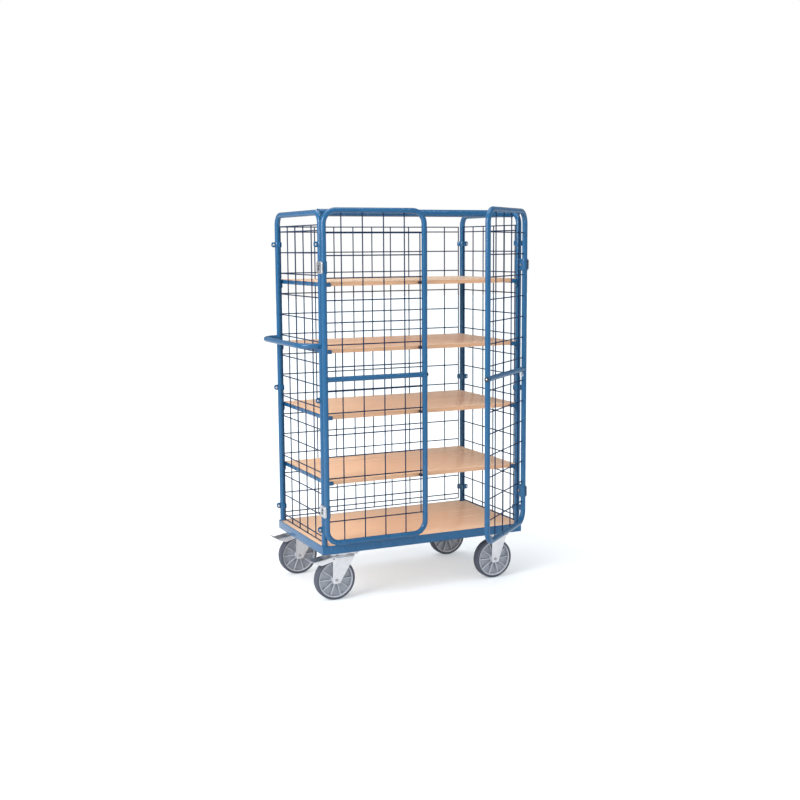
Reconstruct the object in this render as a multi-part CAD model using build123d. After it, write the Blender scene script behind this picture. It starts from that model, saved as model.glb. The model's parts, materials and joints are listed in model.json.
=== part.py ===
from build123d import *
import os

os.makedirs("parts", exist_ok=True)

# Base
base_length = 1060
base_depth = 610
base_corner = 3
castor_height = 230
rail_height = 42
rail_wall = 3
rail_flange = 40
corner_plate_margin = 5
bearer_width = 40
bearer_wall = 2
bearer_spacing = 52
bearer_gap = 1
board_thickness = 19
deck_gap = 1

# How far a cutting shape runs past the face it cuts
cut_over = 1

# Cage
frame_height = 1807
frame_bend = 50
post_diameter = 27
post_gap = 0.5
tube_wall = 2
top_rail_diameter = 34
top_rail_lap = 4

# Wire mesh
wire_diameter = 5
weld_sink = 1
mesh_low = 283
mesh_rungs = 15
mesh_pitch = 100.4
mesh_edge_gap = 25
mesh_post_distance = 23.5
rear_uprights = 9
rear_pitch = 104
rear_ear_turn = 127
end_uprights = 4
end_pitch = 107
end_inset = 5.5

# Clips that hold the mesh to the posts
clip_heights = (349, 949, 1652)
clip_height = 25
clip_band = 2
clip_ear = 3
clip_reach = 28
clip_tab_reach = 31
clip_tab_round = 9
clip_bolt_place = 22.5
clip_head_radius = 6
clip_head_height = 5
clip_nut_height = 5

# Shelves and their supports
shelf_count = 4
shelf_pitch = 303
shelf_front_inset = 8
shelf_rear_inset = 3.5
board_gap = 0.5
support_width = 30
support_wall = 3
support_lip = 16
support_lug_width = 24
support_lug_drop = 25
support_overrun = 9
support_head_radius = 5.5
support_head_height = 4
screw_radius = 3
screw_gap = 0.1
head_round = 0.8

# Push handle
handle_diameter = 25
handle_height = 1197
handle_reach = 76
handle_bend = 86

# Doors
door_tube = 25
door_width = 498
door_middle = 1047
door_half_height = 755
door_corner = 60
door_bar = 24
door_uprights = 4
door_upright_pitch = 104
door_first_upright = 85
door_edge_wire = 22
door_rungs = 7
door_rung_pitch = 100
door_first_rung = 55
hinge_forward = 50
hinge_outward = 5
right_door_open = 40

# Rubber buffers between the shelf boards and the left door
buffer_radius = 6.5
buffer_round = 2
buffer_place = 7
buffer_gap = 0.5

# Hinge clamps
hinge_heights = (440, 1549)
hinge_height = 56
hinge_wall = 2.5
hinge_split = 4
hinge_gap = 0.4
hinge_corner = 9
hinge_bolt_radius = 3
hinge_head_radius = 6
hinge_head_height = 4
hinge_boss_radius = 8
cap_corner = 13
cap_depth = 8.5
cap_wall = 2
cap_rim_round = 1.8

# Door bolt
bolt_radius = 5
bolt_travel = 30
bolt_gap = 0.1
bolt_tail = 26
bush_radius = 8
bush_flange_radius = 10
bush_flange_stand = 2.5
bush_inner = 28
keeper_bore_gap = 1
keeper_depth = 8
stem_place = 36
stem_width = 8
stem_thickness = 4
stem_gap = 0.5
eye_drop = 16
eye_radius = 2.5
ring_radius = 8.5
ring_wire = 1.6

# Castors, from the wheel out
wheel_radius = 98
tyre_width = 46
tyre_round = 9
rim_radius = 86
rim_width = 40
rim_ring = 6
rim_web = 6
rim_ribs = 10
rim_rib_thickness = 4
rim_rib_width = 32
rim_overlap = 1
hub_radius = 20
hub_width = 54
bush_wall = 4
axle_radius = 6
axle_gap = 0.05
axle_head_radius = 8
axle_head_height = 4
leg_gap = 1
leg_wall = 4
leg_bend = 9
leg_foot_half = 13
leg_foot_round = 6
leg_foot_drop = 17
castor_inset = 56
swivel_place = 116
fixed_place = 134
trail = 38
plate_length = 140
plate_width = 108
plate_thickness = 5
plate_corner = 8
plate_hole_x = 54
plate_hole_y = 43
race_radius = 36
race_height = 7
race_gap = 0.4
fork_head_height = 6
crown_wall = 5
crown_half_length = 57
fixed_leg_reach = 66
king_pin_radius = 8
king_head_radius = 14
king_head_height = 6
castor_bolt_radius = 5
castor_bolt_gap = 0.5
castor_bolt_head_radius = 9.5
castor_bolt_head_height = 6.4
castor_nut_height = 8
castor_bolt_end = 2

# Brake pedal
pedal_pin_x = 54
pedal_pin_drop = 10
pedal_pin_radius = 4
pedal_pin_bore = 2.5
pedal_pin_end = 3
pedal_ear_radius = 11
pedal_gap = 0.4
pedal_wall = 3
pedal_top = 10
pedal_length = 96
pedal_web_start = 15
pedal_tilt = 10
pedal_bend = 5
pedal_lip_run = 20
pedal_lip_rise = 13
pedal_flange_rounds = (((-60, -7), 8), ((-92, 4), 4))
shoe_place = 32
shoe_length = 14
shoe_width = 30
shoe_drop = 45
shoe_gap = 1

# Places that follow from the sizes
base_top = castor_height + rail_height
flange_top = castor_height + rail_wall
deck_bottom = base_top - board_thickness
post_radius = post_diameter / 2
post_inset = rail_wall + post_gap + post_radius
post_x = base_length / 2 - post_inset
post_y = base_depth / 2 - post_inset
frame_top = frame_height - post_radius
wire_radius = wire_diameter / 2
weld_step = wire_diameter - weld_sink
mesh_high = mesh_low + 2 * mesh_edge_gap + mesh_pitch * (mesh_rungs - 1)
shelf_front = -base_depth / 2 + shelf_front_inset
shelf_rear = post_y - shelf_rear_inset
support_face = post_x - post_radius
shelf_end = support_face - support_wall - board_gap
hinge_x = post_x + hinge_outward
hinge_y = -post_y - hinge_forward
door_radius = door_tube / 2
bar_radius = door_bar / 2
door_tip = door_width + door_radius + bush_flange_stand
castor_y = base_depth / 2 - castor_inset
swivel_x = swivel_place - base_length / 2
fixed_x = base_length / 2 - fixed_place
plate_bottom = castor_height - plate_thickness
fork_head_top = plate_bottom - race_height - race_gap
crown_top = fork_head_top - fork_head_height
crown_bottom = crown_top - crown_wall
leg_inside = hub_width / 2 + leg_gap
leg_outside = leg_inside + leg_wall
leg_foot_reach = leg_foot_half + leg_foot_round
pedal_pin_z = crown_top - pedal_pin_drop
pedal_inside = leg_outside + pedal_gap
pedal_outside = pedal_inside + pedal_wall


def save(name, shape):
    """Write one node."""
    export_step(shape, "parts/" + name + ".step")


def block(x, y, z):
    """Box between two places on each axis."""
    size = Box(x[1] - x[0], y[1] - y[0], z[1] - z[0])
    return Pos((x[0] + x[1]) / 2, (y[0] + y[1]) / 2, (z[0] + z[1]) / 2) * size


def rod_x(radius, start, end, y=0, z=0):
    """Round bar along X."""
    return Pos((start + end) / 2, y, z) * Rot(0, 90, 0) * Cylinder(radius, abs(end - start))


def rod_y(radius, start, end, x=0, z=0):
    """Round bar along Y."""
    return Pos(x, (start + end) / 2, z) * Rot(90, 0, 0) * Cylinder(radius, abs(end - start))


def rod_z(radius, start, end, x=0, y=0):
    """Round bar along Z."""
    return Pos(x, y, (start + end) / 2) * Cylinder(radius, abs(end - start))


def bent_tube(points, bend, diameter, wall=0):
    """Tube along rounded corners; a full bar where no wall is given."""
    path = FilletPolyline(*points, radius=bend)
    section = Circle(diameter / 2)
    if wall:
        section -= Circle(diameter / 2 - wall)
    return sweep(Plane(origin=path @ 0, z_dir=path % 0) * section, path=path)


def fuse_all(shapes):
    """One solid from pieces that meet."""
    return shapes[0].fuse(*shapes[1:])


def group(shapes):
    """Separate solids kept together in one node."""
    return Compound([solid for shape in shapes for solid in shape.solids()])


def mirrored_x(shape):
    """The same piece on the other end."""
    return mirror(shape, about=Plane.YZ)


def mirrored_y(shape):
    """The same piece on the other long side."""
    return mirror(shape, about=Plane.XZ)


def domed_screw(radius, height, shank_radius, shank_length):
    """Screw along X: the head from the origin towards +X, the shank towards -X."""
    head = rod_x(radius, 0, height)
    rim = head.edges().filter_by(GeomType.CIRCLE).sort_by(Axis.X)[-1]
    head = fillet(rim, height * head_round)
    return head + rod_x(shank_radius, -shank_length, 0)


def centred(count, pitch):
    """Places at an even pitch about zero."""
    return [(i - (count - 1) / 2) * pitch for i in range(count)]


# Base frame: angle rails with a plate for each castor
outline = extrude(fillet(Rectangle(base_length, base_depth).vertices(), base_corner), rail_height)
opening = Box(base_length - 2 * rail_flange, base_depth - 2 * rail_flange, 2 * rail_wall)
trough = Pos(0, 0, rail_wall) * extrude(
    Rectangle(base_length - 2 * rail_wall, base_depth - 2 * rail_wall), rail_height)
base_frame = Pos(0, 0, castor_height) * (outline - opening - trough)
castor_centres = [(x, side * castor_y) for x in (swivel_x, fixed_x) for side in (-1, 1)]
castor_bolt_places = [(x + i * plate_hole_x, y + j * plate_hole_y)
                      for x, y in castor_centres for i in (-1, 1) for j in (-1, 1)]
plate_level = (castor_height, flange_top)
plates = []
for x, y in castor_centres:
    side_x = 1 if x > 0 else -1
    side_y = 1 if y > 0 else -1
    inner_x = x - side_x * (plate_length / 2 + corner_plate_margin)
    outer_x = side_x * (base_length / 2 - rail_wall)
    inner_y = y - side_y * (plate_width / 2 + corner_plate_margin)
    outer_y = side_y * (base_depth / 2 - rail_wall)
    plates.append(block(sorted((inner_x, outer_x)), sorted((inner_y, outer_y)), plate_level))
base_frame = base_frame + plates
bolt_hole_radius = castor_bolt_radius + castor_bolt_gap
base_frame -= [rod_z(bolt_hole_radius, castor_height - cut_over, flange_top + cut_over, x, y)
               for x, y in castor_bolt_places]
save("base_frame", base_frame)

# Bearers under the deck board
bearer_height = deck_bottom - flange_top
bearer_level = (flange_top + deck_bottom) / 2
bearer_reach = base_depth / 2 - rail_wall - bearer_gap
end_bearer_reach = post_y - post_radius - bearer_gap
end_bearer_x = base_length / 2 - rail_wall - bearer_gap - bearer_width / 2
bearer_x = fixed_x - plate_hole_x - bearer_spacing
bearers = []
for x in (-end_bearer_x, -bearer_x, 0, bearer_x, end_bearer_x):
    reach = end_bearer_reach if abs(x) == end_bearer_x else bearer_reach
    tube = Box(bearer_width, 2 * reach, bearer_height)
    tube -= Box(bearer_width - 2 * bearer_wall, 2 * reach, bearer_height - 2 * bearer_wall)
    bearers.append(Pos(x, 0, bearer_level) * tube)
save("base_bearers", group(bearers))

# Deck board, notched round the posts
deck_length = base_length - 2 * (rail_wall + deck_gap)
deck_depth = base_depth - 2 * (rail_wall + deck_gap)
notch = post_gap + post_diameter
deck_face = Rectangle(deck_length, deck_depth)
deck_face -= [Pos(i * (deck_length - notch) / 2, j * (deck_depth - notch) / 2) * Rectangle(notch, notch)
              for i in (-1, 1) for j in (-1, 1)]
save("deck_board", Pos(0, 0, deck_bottom) * extrude(deck_face, board_thickness))

# Shelf boards
shelf_tops = [base_top + shelf_pitch * (i + 1) for i in range(shelf_count)]
shelf_bottoms = [top - board_thickness for top in shelf_tops]
for i, bottom in enumerate(shelf_bottoms):
    board = block((-shelf_end, shelf_end), (shelf_front, shelf_rear), (bottom, bottom + board_thickness))
    save("shelf_board_" + str(i + 1), board)

# Door buffers on the front edges of the shelf boards
buffer_x = -hinge_x + door_width - buffer_place
buffer_tip = hinge_y + door_radius + buffer_gap
buffers = []
for bottom in shelf_bottoms:
    buffer = rod_y(buffer_radius, buffer_tip, shelf_front, buffer_x, bottom + board_thickness / 2)
    tip_edge = buffer.edges().filter_by(GeomType.CIRCLE).sort_by(Axis.Y)[0]
    buffers.append(fillet(tip_edge, buffer_round))
save("door_buffers", group(buffers))

# Shelf supports: an angle with a front stop and a screw lug at each post
support_stop = shelf_front - board_gap - support_wall
support_flange_x = (support_face - support_width, support_face)
support_wall_x = (support_face - support_wall, support_face)
support_screw_drop = support_wall + (support_lug_drop - support_wall) / 2
support_hole = (support_wall_x[0] - cut_over, support_face + cut_over)
support_screw = domed_screw(support_head_radius, support_head_height, screw_radius,
                            support_wall + post_radius)
supports = []
support_screws = []
for bottom in shelf_bottoms:
    under = bottom - support_wall
    upright = (under, bottom + support_lip)
    support = block(support_wall_x, (support_stop, post_y + support_overrun), upright)
    support += block(support_flange_x, (support_stop, shelf_rear), (under, bottom))
    support += block(support_flange_x, (support_stop, support_stop + support_wall), upright)
    for y in (-post_y, post_y):
        rear_end = min(y + support_lug_width / 2, post_y + support_overrun)
        front_end = max(y - support_lug_width / 2, support_stop)
        support += block(support_wall_x, (front_end, rear_end), (bottom - support_lug_drop, bottom))
    for y in (-post_y, post_y):
        level = bottom - support_screw_drop
        support -= rod_x(screw_radius + screw_gap, *support_hole, y, level)
        support_screws.append(Pos(support_wall_x[0], y, level) * Rot(0, 0, 180) * support_screw)
    supports.append(support)
save("right_shelf_supports", group(supports))
save("left_shelf_supports", group([mirrored_x(support) for support in supports]))
save("support_screws", group(support_screws + [mirrored_x(screw) for screw in support_screws]))

# End frames: inverted U tubes
frame_points = [(post_x, -post_y, flange_top), (post_x, -post_y, frame_top),
                (post_x, post_y, frame_top), (post_x, post_y, flange_top)]
end_frame = bent_tube(frame_points, frame_bend, post_diameter, tube_wall)
end_frame_bar = bent_tube(frame_points, frame_bend, post_diameter)
screw_holes = []
for y in (-post_y, post_y):
    for bottom in shelf_bottoms:
        level = bottom - support_screw_drop
        screw_holes.append(rod_x(screw_radius + screw_gap, post_x - post_diameter, post_x, y, level))
end_frame -= screw_holes
save("right_end_frame", end_frame)
save("left_end_frame", mirrored_x(end_frame))

# Top rail between the front bends
top_rail_y = -post_y + frame_bend
top_rail_half = support_face + top_rail_lap
top_rail = rod_x(top_rail_diameter / 2, -top_rail_half, top_rail_half, top_rail_y, frame_top)
top_rail -= rod_x(top_rail_diameter / 2 - tube_wall, -top_rail_half, top_rail_half, top_rail_y, frame_top)
top_rail -= [end_frame_bar, mirrored_x(end_frame_bar)]
save("top_rail", top_rail)

# Wire mesh panels, the rear one behind the posts and the end ones a little inside them
mesh_levels = [mesh_low, mesh_high]
mesh_levels += [mesh_low + mesh_edge_gap + mesh_pitch * i for i in range(mesh_rungs)]


def mesh_panel(uprights, half_width):
    """Welded panel in the XZ plane with its rungs behind the uprights."""
    wires = [rod_z(wire_radius, mesh_low - wire_radius, mesh_high + wire_radius, x)
             for x in uprights + [-half_width, half_width]]
    reach = half_width + wire_radius
    wires += [rod_x(wire_radius, -reach, reach, weld_step, z) for z in mesh_levels]
    return fuse_all(wires)


rear_edge = Vector(mesh_post_distance, 0, 0).rotate(Axis.Z, rear_ear_turn)
rear_panel = mesh_panel(centred(rear_uprights, rear_pitch), post_x + rear_edge.X)
end_panel = mesh_panel(centred(end_uprights, end_pitch), post_y - mesh_post_distance)
right_mesh = Pos(post_x - end_inset, 0, 0) * Rot(0, 0, -90) * end_panel
save("rear_mesh", Pos(0, post_y + rear_edge.Y, 0) * rear_panel)
save("right_mesh", right_mesh)
save("left_mesh", mirrored_x(right_mesh))

# Mesh clips: a band round the post, a bolted pair of tabs outwards and a pair of ears for each panel
clip_outside = post_radius + clip_band
clip_stack = wire_radius + clip_ear
clip_level = (-clip_height / 2, clip_height / 2)
tab_face = Pos(clip_tab_reach / 2, 0) * Rectangle(clip_tab_reach, clip_height)
tab_face = fillet(tab_face.vertices().group_by(Axis.X)[-1], clip_tab_round)
clip_tabs = extrude(Plane.XZ * tab_face, clip_stack, both=True)
clip_tabs -= rod_y(screw_radius + screw_gap, -clip_reach, clip_reach, clip_bolt_place)
ear_slot = block((clip_outside, clip_tab_reach + cut_over), (-wire_radius, wire_radius),
                 (-clip_height, clip_height))


def clip(ears):
    """Clip about the post's axis, with ears at the angles and side steps given."""
    shape = Cylinder(clip_outside, clip_height) + (clip_tabs - ear_slot)
    for turn, step in ears:
        ear = block((0, clip_reach), (-clip_stack, clip_stack), clip_level) - ear_slot
        shape += Rot(0, 0, turn) * Pos(0, step, 0) * ear
    return shape - Cylinder(post_radius, clip_height)


clip_bolt = domed_screw(clip_head_radius, clip_head_height, screw_radius, 2 * clip_stack)
clip_bolt += rod_x(clip_head_radius, -2 * clip_stack - clip_nut_height, -2 * clip_stack)
clips = []
clip_bolts = []
for z in clip_heights:
    for y, ears in ((post_y, ((rear_ear_turn, 0), (-90, -end_inset))), (-post_y, ((90, end_inset),))):
        clips.append(Pos(post_x, y, z) * clip(ears))
        clip_bolts.append(Pos(post_x + clip_bolt_place, y - clip_stack, z) * Rot(0, 0, -90) * clip_bolt)
save("mesh_clips", group(clips + [mirrored_x(shape) for shape in clips]))
save("clip_bolts", group(clip_bolts + [mirrored_x(bolt) for bolt in clip_bolts]))

# Push handle on the left posts
handle_bar_x = -base_length / 2 - handle_reach
handle_points = [(-post_x, -post_y, handle_height), (handle_bar_x, -post_y, handle_height),
                 (handle_bar_x, post_y, handle_height), (-post_x, post_y, handle_height)]
handle = bent_tube(handle_points, handle_bend, handle_diameter, tube_wall)
handle -= [rod_z(post_radius, handle_height - handle_diameter, handle_height + handle_diameter, -post_x, y)
           for y in (-post_y, post_y)]
save("push_handle", handle)

# Hinge clamps: an inner shell and a dished outer cap round the post and the door tube
hinge_run = (hinge_outward ** 2 + hinge_forward ** 2) ** 0.5
hinge_bore = door_radius + hinge_gap
hinge_start = -post_radius - hinge_wall
hinge_end = hinge_run + hinge_bore + hinge_wall
hinge_side = post_radius + hinge_wall
web_middle = (post_radius + hinge_run - hinge_bore) / 2
web_face = hinge_split / 2 + hinge_wall
hinge_plane = Plane(origin=(-post_x, -post_y, 0), x_dir=(-hinge_outward, -hinge_forward, 0),
                    z_dir=(0, 0, 1))
shell_face = Circle(post_radius + hinge_wall) + Pos(hinge_run, 0) * Circle(hinge_bore + hinge_wall)
shell_face += Pos(hinge_run / 2, hinge_split / 2 + hinge_wall / 2) * Rectangle(hinge_run, hinge_wall)
shell_face -= Pos((hinge_start + hinge_end) / 2, hinge_split / 2 - hinge_side) * Rectangle(
    hinge_end - hinge_start, 2 * hinge_side)
shell_face -= [Circle(post_radius), Pos(hinge_run, 0) * Circle(hinge_bore)]
shell = Pos(0, 0, -hinge_height / 2) * extrude(shell_face, hinge_height)
side_face = fillet(Rectangle(hinge_end - hinge_start, hinge_height).vertices(), hinge_corner)
side_block = Rot(-90, 0, 0) * extrude(side_face, 2 * hinge_side)
shell = shell & Pos((hinge_start + hinge_end) / 2, -hinge_split, 0) * side_block
hinge_bolt_hole = rod_y(hinge_bolt_radius + screw_gap, -hinge_side - cut_over, hinge_side, web_middle)
shell -= hinge_bolt_hole
cap_length = hinge_run + 2 * hinge_side
cap_middle = hinge_run / 2
cap_face = fillet(Rectangle(cap_length, hinge_height).vertices(), cap_corner)
cap = extrude(Plane.XZ * cap_face, cap_depth)
cap = fillet(cap.faces().sort_by(Axis.Y)[0].edges(), cap_rim_round)
hollow_face = fillet(Rectangle(cap_length - 2 * cap_wall, hinge_height - 2 * cap_wall).vertices(),
                     cap_corner - cap_wall)
cap -= extrude(Plane.XZ * hollow_face, cap_depth - cap_wall)
cap = Pos(cap_middle, cap_depth - hinge_side, 0) * cap
cap -= rod_z(post_radius, -hinge_height, hinge_height)
cap -= rod_z(hinge_bore, -hinge_height, hinge_height, hinge_run)
cap += rod_y(hinge_boss_radius, cap_wall / 2 - hinge_side, -hinge_split / 2, web_middle)
cap -= hinge_bolt_hole
bolt_length = hinge_side + web_face
hinge_bolt = domed_screw(hinge_head_radius, hinge_head_height, hinge_bolt_radius, bolt_length)
hinge_bolt += rod_x(hinge_head_radius, -bolt_length - hinge_head_height, -bolt_length)
inner_shells = []
outer_caps = []
hinge_bolts = []
for z in hinge_heights:
    place = Pos(0, 0, z) * hinge_plane.location
    inner_shells.append(place * shell)
    outer_caps.append(place * cap)
    hinge_bolts.append(place * Pos(web_middle, -hinge_side, 0) * Rot(0, 0, -90) * hinge_bolt)
save("hinge_inner_shells", group(inner_shells + [mirrored_x(shape) for shape in inner_shells]))
save("hinge_outer_caps", group(outer_caps + [mirrored_x(shape) for shape in outer_caps]))
save("hinge_bolts", group(hinge_bolts + [mirrored_x(bolt) for bolt in hinge_bolts]))

# Doors about their hinge axis, the leaf along +X and the height from the middle bar
half_loop_points = [(0, 0, 0), (0, 0, door_half_height),
                    (door_width, 0, door_half_height), (door_width, 0, 0)]
upper_half = bent_tube(half_loop_points, door_corner, door_tube, tube_wall)
upper_bar = bent_tube(half_loop_points, door_corner, door_tube)
door_loop = upper_half.fuse(mirror(upper_half, about=Plane.XY))
door_loop_bar = upper_bar.fuse(mirror(upper_bar, about=Plane.XY))
full_bar = rod_x(bar_radius, 0, door_width)
middle_bar = full_bar - rod_x(bar_radius - tube_wall, 0, door_width) - door_loop_bar

door_last_rung = door_first_rung + door_rung_pitch * (door_rungs - 1)
door_wires = [rod_z(wire_radius, 0, door_half_height, door_first_upright + door_upright_pitch * i)
              for i in range(door_uprights)]
door_wires.append(rod_z(wire_radius, 0, door_last_rung + wire_radius, door_width - door_edge_wire))
door_wires += [rod_x(wire_radius, 0, door_width, weld_step, door_first_rung + door_rung_pitch * i)
               for i in range(door_rungs)]
upper_mesh = fuse_all(door_wires) - [upper_bar, full_bar]
door_mesh = group([upper_mesh, mirror(upper_mesh, about=Plane.XY)])


def bush(inner_end, bore_radius):
    """Flanged bush in the free tube, open along the door's width."""
    sleeve = rod_x(bush_radius, inner_end, door_tip)
    flange = rod_x(bush_flange_radius, door_width, door_tip)
    flange -= rod_z(door_radius, -door_tube, door_tube, door_width)
    return sleeve + flange - rod_x(bore_radius, inner_end - cut_over, door_tip + cut_over)


left_place = Pos(-hinge_x, hinge_y, door_middle)
keeper_start = door_tip - bush_flange_stand - keeper_depth
left_frame = door_loop - rod_x(bush_radius, keeper_start, door_tip)
save("left_door_frame", left_place * left_frame)
save("left_door_bar", left_place * middle_bar)
save("left_door_mesh", left_place * door_mesh)
save("left_bolt_keeper", left_place * bush(keeper_start, bolt_radius + keeper_bore_gap))

# Right door with its sliding bolt, turned open
right_axis = Axis((hinge_x, hinge_y, 0), (0, 0, 1))


def on_right(shape):
    """Left-hand shape moved to the right door at its open angle."""
    return mirrored_x(left_place * shape).rotate(right_axis, right_door_open)


guide_start = door_width - bush_inner
right_frame = door_loop - rod_x(bush_radius, guide_start, door_tip)
slot_start = stem_place - stem_width / 2 - stem_gap
slot_end = stem_place + stem_width / 2 + bolt_travel + stem_gap
slot_half = stem_thickness / 2 + stem_gap
slotted_bar = middle_bar - block((slot_start, slot_end), (-slot_half, slot_half), (-door_bar, 0))
stem = block((stem_place - stem_width / 2, stem_place + stem_width / 2),
             (-stem_thickness / 2, stem_thickness / 2), (-eye_drop, 0))
stem += rod_y(stem_width / 2, -stem_thickness / 2, stem_thickness / 2, stem_place, -eye_drop)
stem -= rod_y(eye_radius, -stem_thickness, stem_thickness, stem_place, -eye_drop)
door_bolt = rod_x(bolt_radius, bolt_tail, door_tip) + stem
pull_ring = Pos(stem_place, 0, -eye_drop - ring_radius) * Rot(0, 90, 0) * Torus(ring_radius, ring_wire)
save("right_door_frame", on_right(right_frame))
save("right_door_bar", on_right(slotted_bar))
save("right_door_mesh", on_right(door_mesh))
save("bolt_guide", on_right(bush(guide_start, bolt_radius + bolt_gap)))
save("door_bolt", on_right(door_bolt))
save("pull_ring", on_right(pull_ring))

# Wheel about its own axle along Y
rim_inner = rim_radius - rim_ring
hub_bore = axle_radius + axle_gap + bush_wall
rim = rod_y(hub_radius, -hub_width / 2, hub_width / 2)
rim += rod_y(rim_radius, -rim_width / 2, rim_width / 2) - rod_y(rim_inner, -rim_width / 2, rim_width / 2)
rim += rod_y(rim_inner + rim_overlap, -rim_web / 2, rim_web / 2)
spokes = []
for i in range(rim_ribs):
    spoke = block((hub_radius - rim_overlap, rim_inner + rim_overlap),
                  (-rim_rib_width / 2, rim_rib_width / 2),
                  (-rim_rib_thickness / 2, rim_rib_thickness / 2))
    spokes.append(Rot(0, i * 360 / rim_ribs, 0) * spoke)
rim = rim + spokes
rim -= rod_y(hub_bore, -hub_width, hub_width)
tread = rod_y(wheel_radius, -tyre_width / 2, tyre_width / 2)
tread = fillet(tread.edges().filter_by(GeomType.CIRCLE), tyre_round)
tyre = tread - rod_y(rim_radius, -tyre_width, tyre_width)
hub_bush = rod_y(hub_bore, -hub_width / 2, hub_width / 2)
hub_bush -= rod_y(axle_radius + axle_gap, -hub_width, hub_width)
axle_head = extrude(RegularPolygon(axle_head_radius, 6), axle_head_height)
hexagon = Rot(90, 0, 0) * Pos(0, 0, leg_outside) * axle_head
axle = rod_y(axle_radius, -leg_outside, leg_outside) + [hexagon, mirrored_y(hexagon)]

# Pressed legs: a bent sheet cut to the side outline
leg_span = 2 * wheel_radius


def pressed_legs(top, wall, edge_left, edge_right, foot):
    """Two legs joined by a bent crown at the level given, down to the foot at an axle."""
    outer = Pos(0, top - leg_span / 2) * Rectangle(2 * leg_outside, leg_span)
    outer = fillet(outer.vertices().group_by(Axis.Y)[-1], leg_bend)
    inner = Pos(0, top - wall - leg_span / 2) * Rectangle(2 * leg_inside, leg_span)
    inner = fillet(inner.vertices().group_by(Axis.Y)[-1], leg_bend - leg_wall)
    channel = Plane.YZ * (outer - inner)
    sheet = extrude(channel, 2 * plate_length, both=True)
    edges = [Edge.make_line((edge_left, top), (edge_right, top))]
    foot_level = wheel_radius - leg_foot_drop + leg_foot_round
    for step in (-leg_foot_half, leg_foot_half):
        edges += (Pos(foot + step, foot_level) * Circle(leg_foot_round)).edges()
    side = make_hull(edges)
    return sheet, side


def side_cut(side):
    """Side outline made into a block across the castor."""
    return extrude(Plane.XZ * side, plate_width, both=True)


# Swivel castor about its king pin
plate_face = fillet(Rectangle(plate_length, plate_width).vertices(), plate_corner)
plate_face -= [Pos(i * plate_hole_x, j * plate_hole_y) * Circle(bolt_hole_radius)
               for i in (-1, 1) for j in (-1, 1)]
top_plate = Pos(0, 0, plate_bottom) * extrude(plate_face, plate_thickness)
king_head_top = crown_bottom - race_gap
swivel_plate = top_plate + rod_z(race_radius, plate_bottom - race_height, plate_bottom)
swivel_plate += rod_z(king_pin_radius, king_head_top, plate_bottom)
swivel_plate += rod_z(king_head_radius, king_head_top - king_head_height, king_head_top)
sheet, side = pressed_legs(crown_top, crown_wall, -crown_half_length, crown_half_length, -trail)
side += Pos(-pedal_pin_x, pedal_pin_z) * Circle(pedal_ear_radius)
fork = sheet & side_cut(side)
fork += rod_z(race_radius, crown_top, fork_head_top)
fork -= rod_z(king_pin_radius + axle_gap, crown_bottom - cut_over, fork_head_top + cut_over)
fork -= rod_y(axle_radius, -plate_width, plate_width, -trail, wheel_radius)
fork -= rod_y(pedal_pin_radius + axle_gap, -plate_width, plate_width, -pedal_pin_x, pedal_pin_z)

# Brake pedal about its pin, level, then tilted
pedal_under = pedal_top - pedal_wall
lip_low = (-pedal_length, pedal_under)
lip_high = (-pedal_length - pedal_lip_run, pedal_under + pedal_lip_rise)
tread_face = Polygon((-pedal_web_start, pedal_under), (-pedal_web_start, pedal_top),
                     (-pedal_length, pedal_top), (lip_high[0], lip_high[1] + pedal_wall),
                     lip_high, lip_low, align=None)
tread_bends = tread_face.vertices().sort_by_distance((-pedal_length, pedal_under))[0:2]
tread_face = fillet(tread_bends, pedal_bend)
pedal = extrude(Plane.XZ * tread_face, pedal_outside, both=True)
flange_edges = Circle(pedal_ear_radius).edges()
for place, radius in pedal_flange_rounds:
    flange_edges += (Pos(*place) * Circle(radius)).edges()
flange = extrude(Plane.XZ * make_hull(flange_edges), pedal_wall)
pedal += [Pos(0, -pedal_inside, 0) * flange, Pos(0, pedal_outside, 0) * flange]
pin_reach = pedal_outside + pedal_pin_end
pedal += rod_y(pedal_pin_radius, -pin_reach, pin_reach)
pedal -= rod_y(pedal_pin_bore, -pin_reach - cut_over, pin_reach + cut_over)
shoe = block((-shoe_place - shoe_length, -shoe_place), (-shoe_width / 2, shoe_width / 2),
             (-shoe_drop, (pedal_under + pedal_top) / 2))
pedal = Pos(-pedal_pin_x, 0, pedal_pin_z) * Rot(0, -pedal_tilt, 0) * (pedal + shoe)
pedal -= rod_y(wheel_radius + shoe_gap, -shoe_width, shoe_width, -trail, wheel_radius)

# Fixed castor about its axle
sheet, side = pressed_legs(plate_bottom, leg_wall, -leg_foot_reach, fixed_leg_reach, 0)
bracket = (sheet & side_cut(side)) + top_plate
bracket -= rod_y(axle_radius, -plate_width, plate_width, 0, wheel_radius)

wheel_pieces = {"rim": rim, "tyre": tyre, "hub_bush": hub_bush, "axle": axle}
for name, y in (("front", -castor_y), ("rear", castor_y)):
    wheel_place = Pos(swivel_x - trail, y, wheel_radius)
    for piece, shape in wheel_pieces.items():
        save(name + "_swivel_" + piece, wheel_place * shape)
        save(name + "_fixed_" + piece, Pos(fixed_x, y, wheel_radius) * shape)
    save(name + "_swivel_plate", Pos(swivel_x, y, 0) * swivel_plate)
    save(name + "_swivel_fork", Pos(swivel_x, y, 0) * fork)
    save(name + "_brake_pedal", Pos(swivel_x, y, 0) * pedal)
    save(name + "_fixed_bracket", Pos(fixed_x, y, 0) * bracket)

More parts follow.
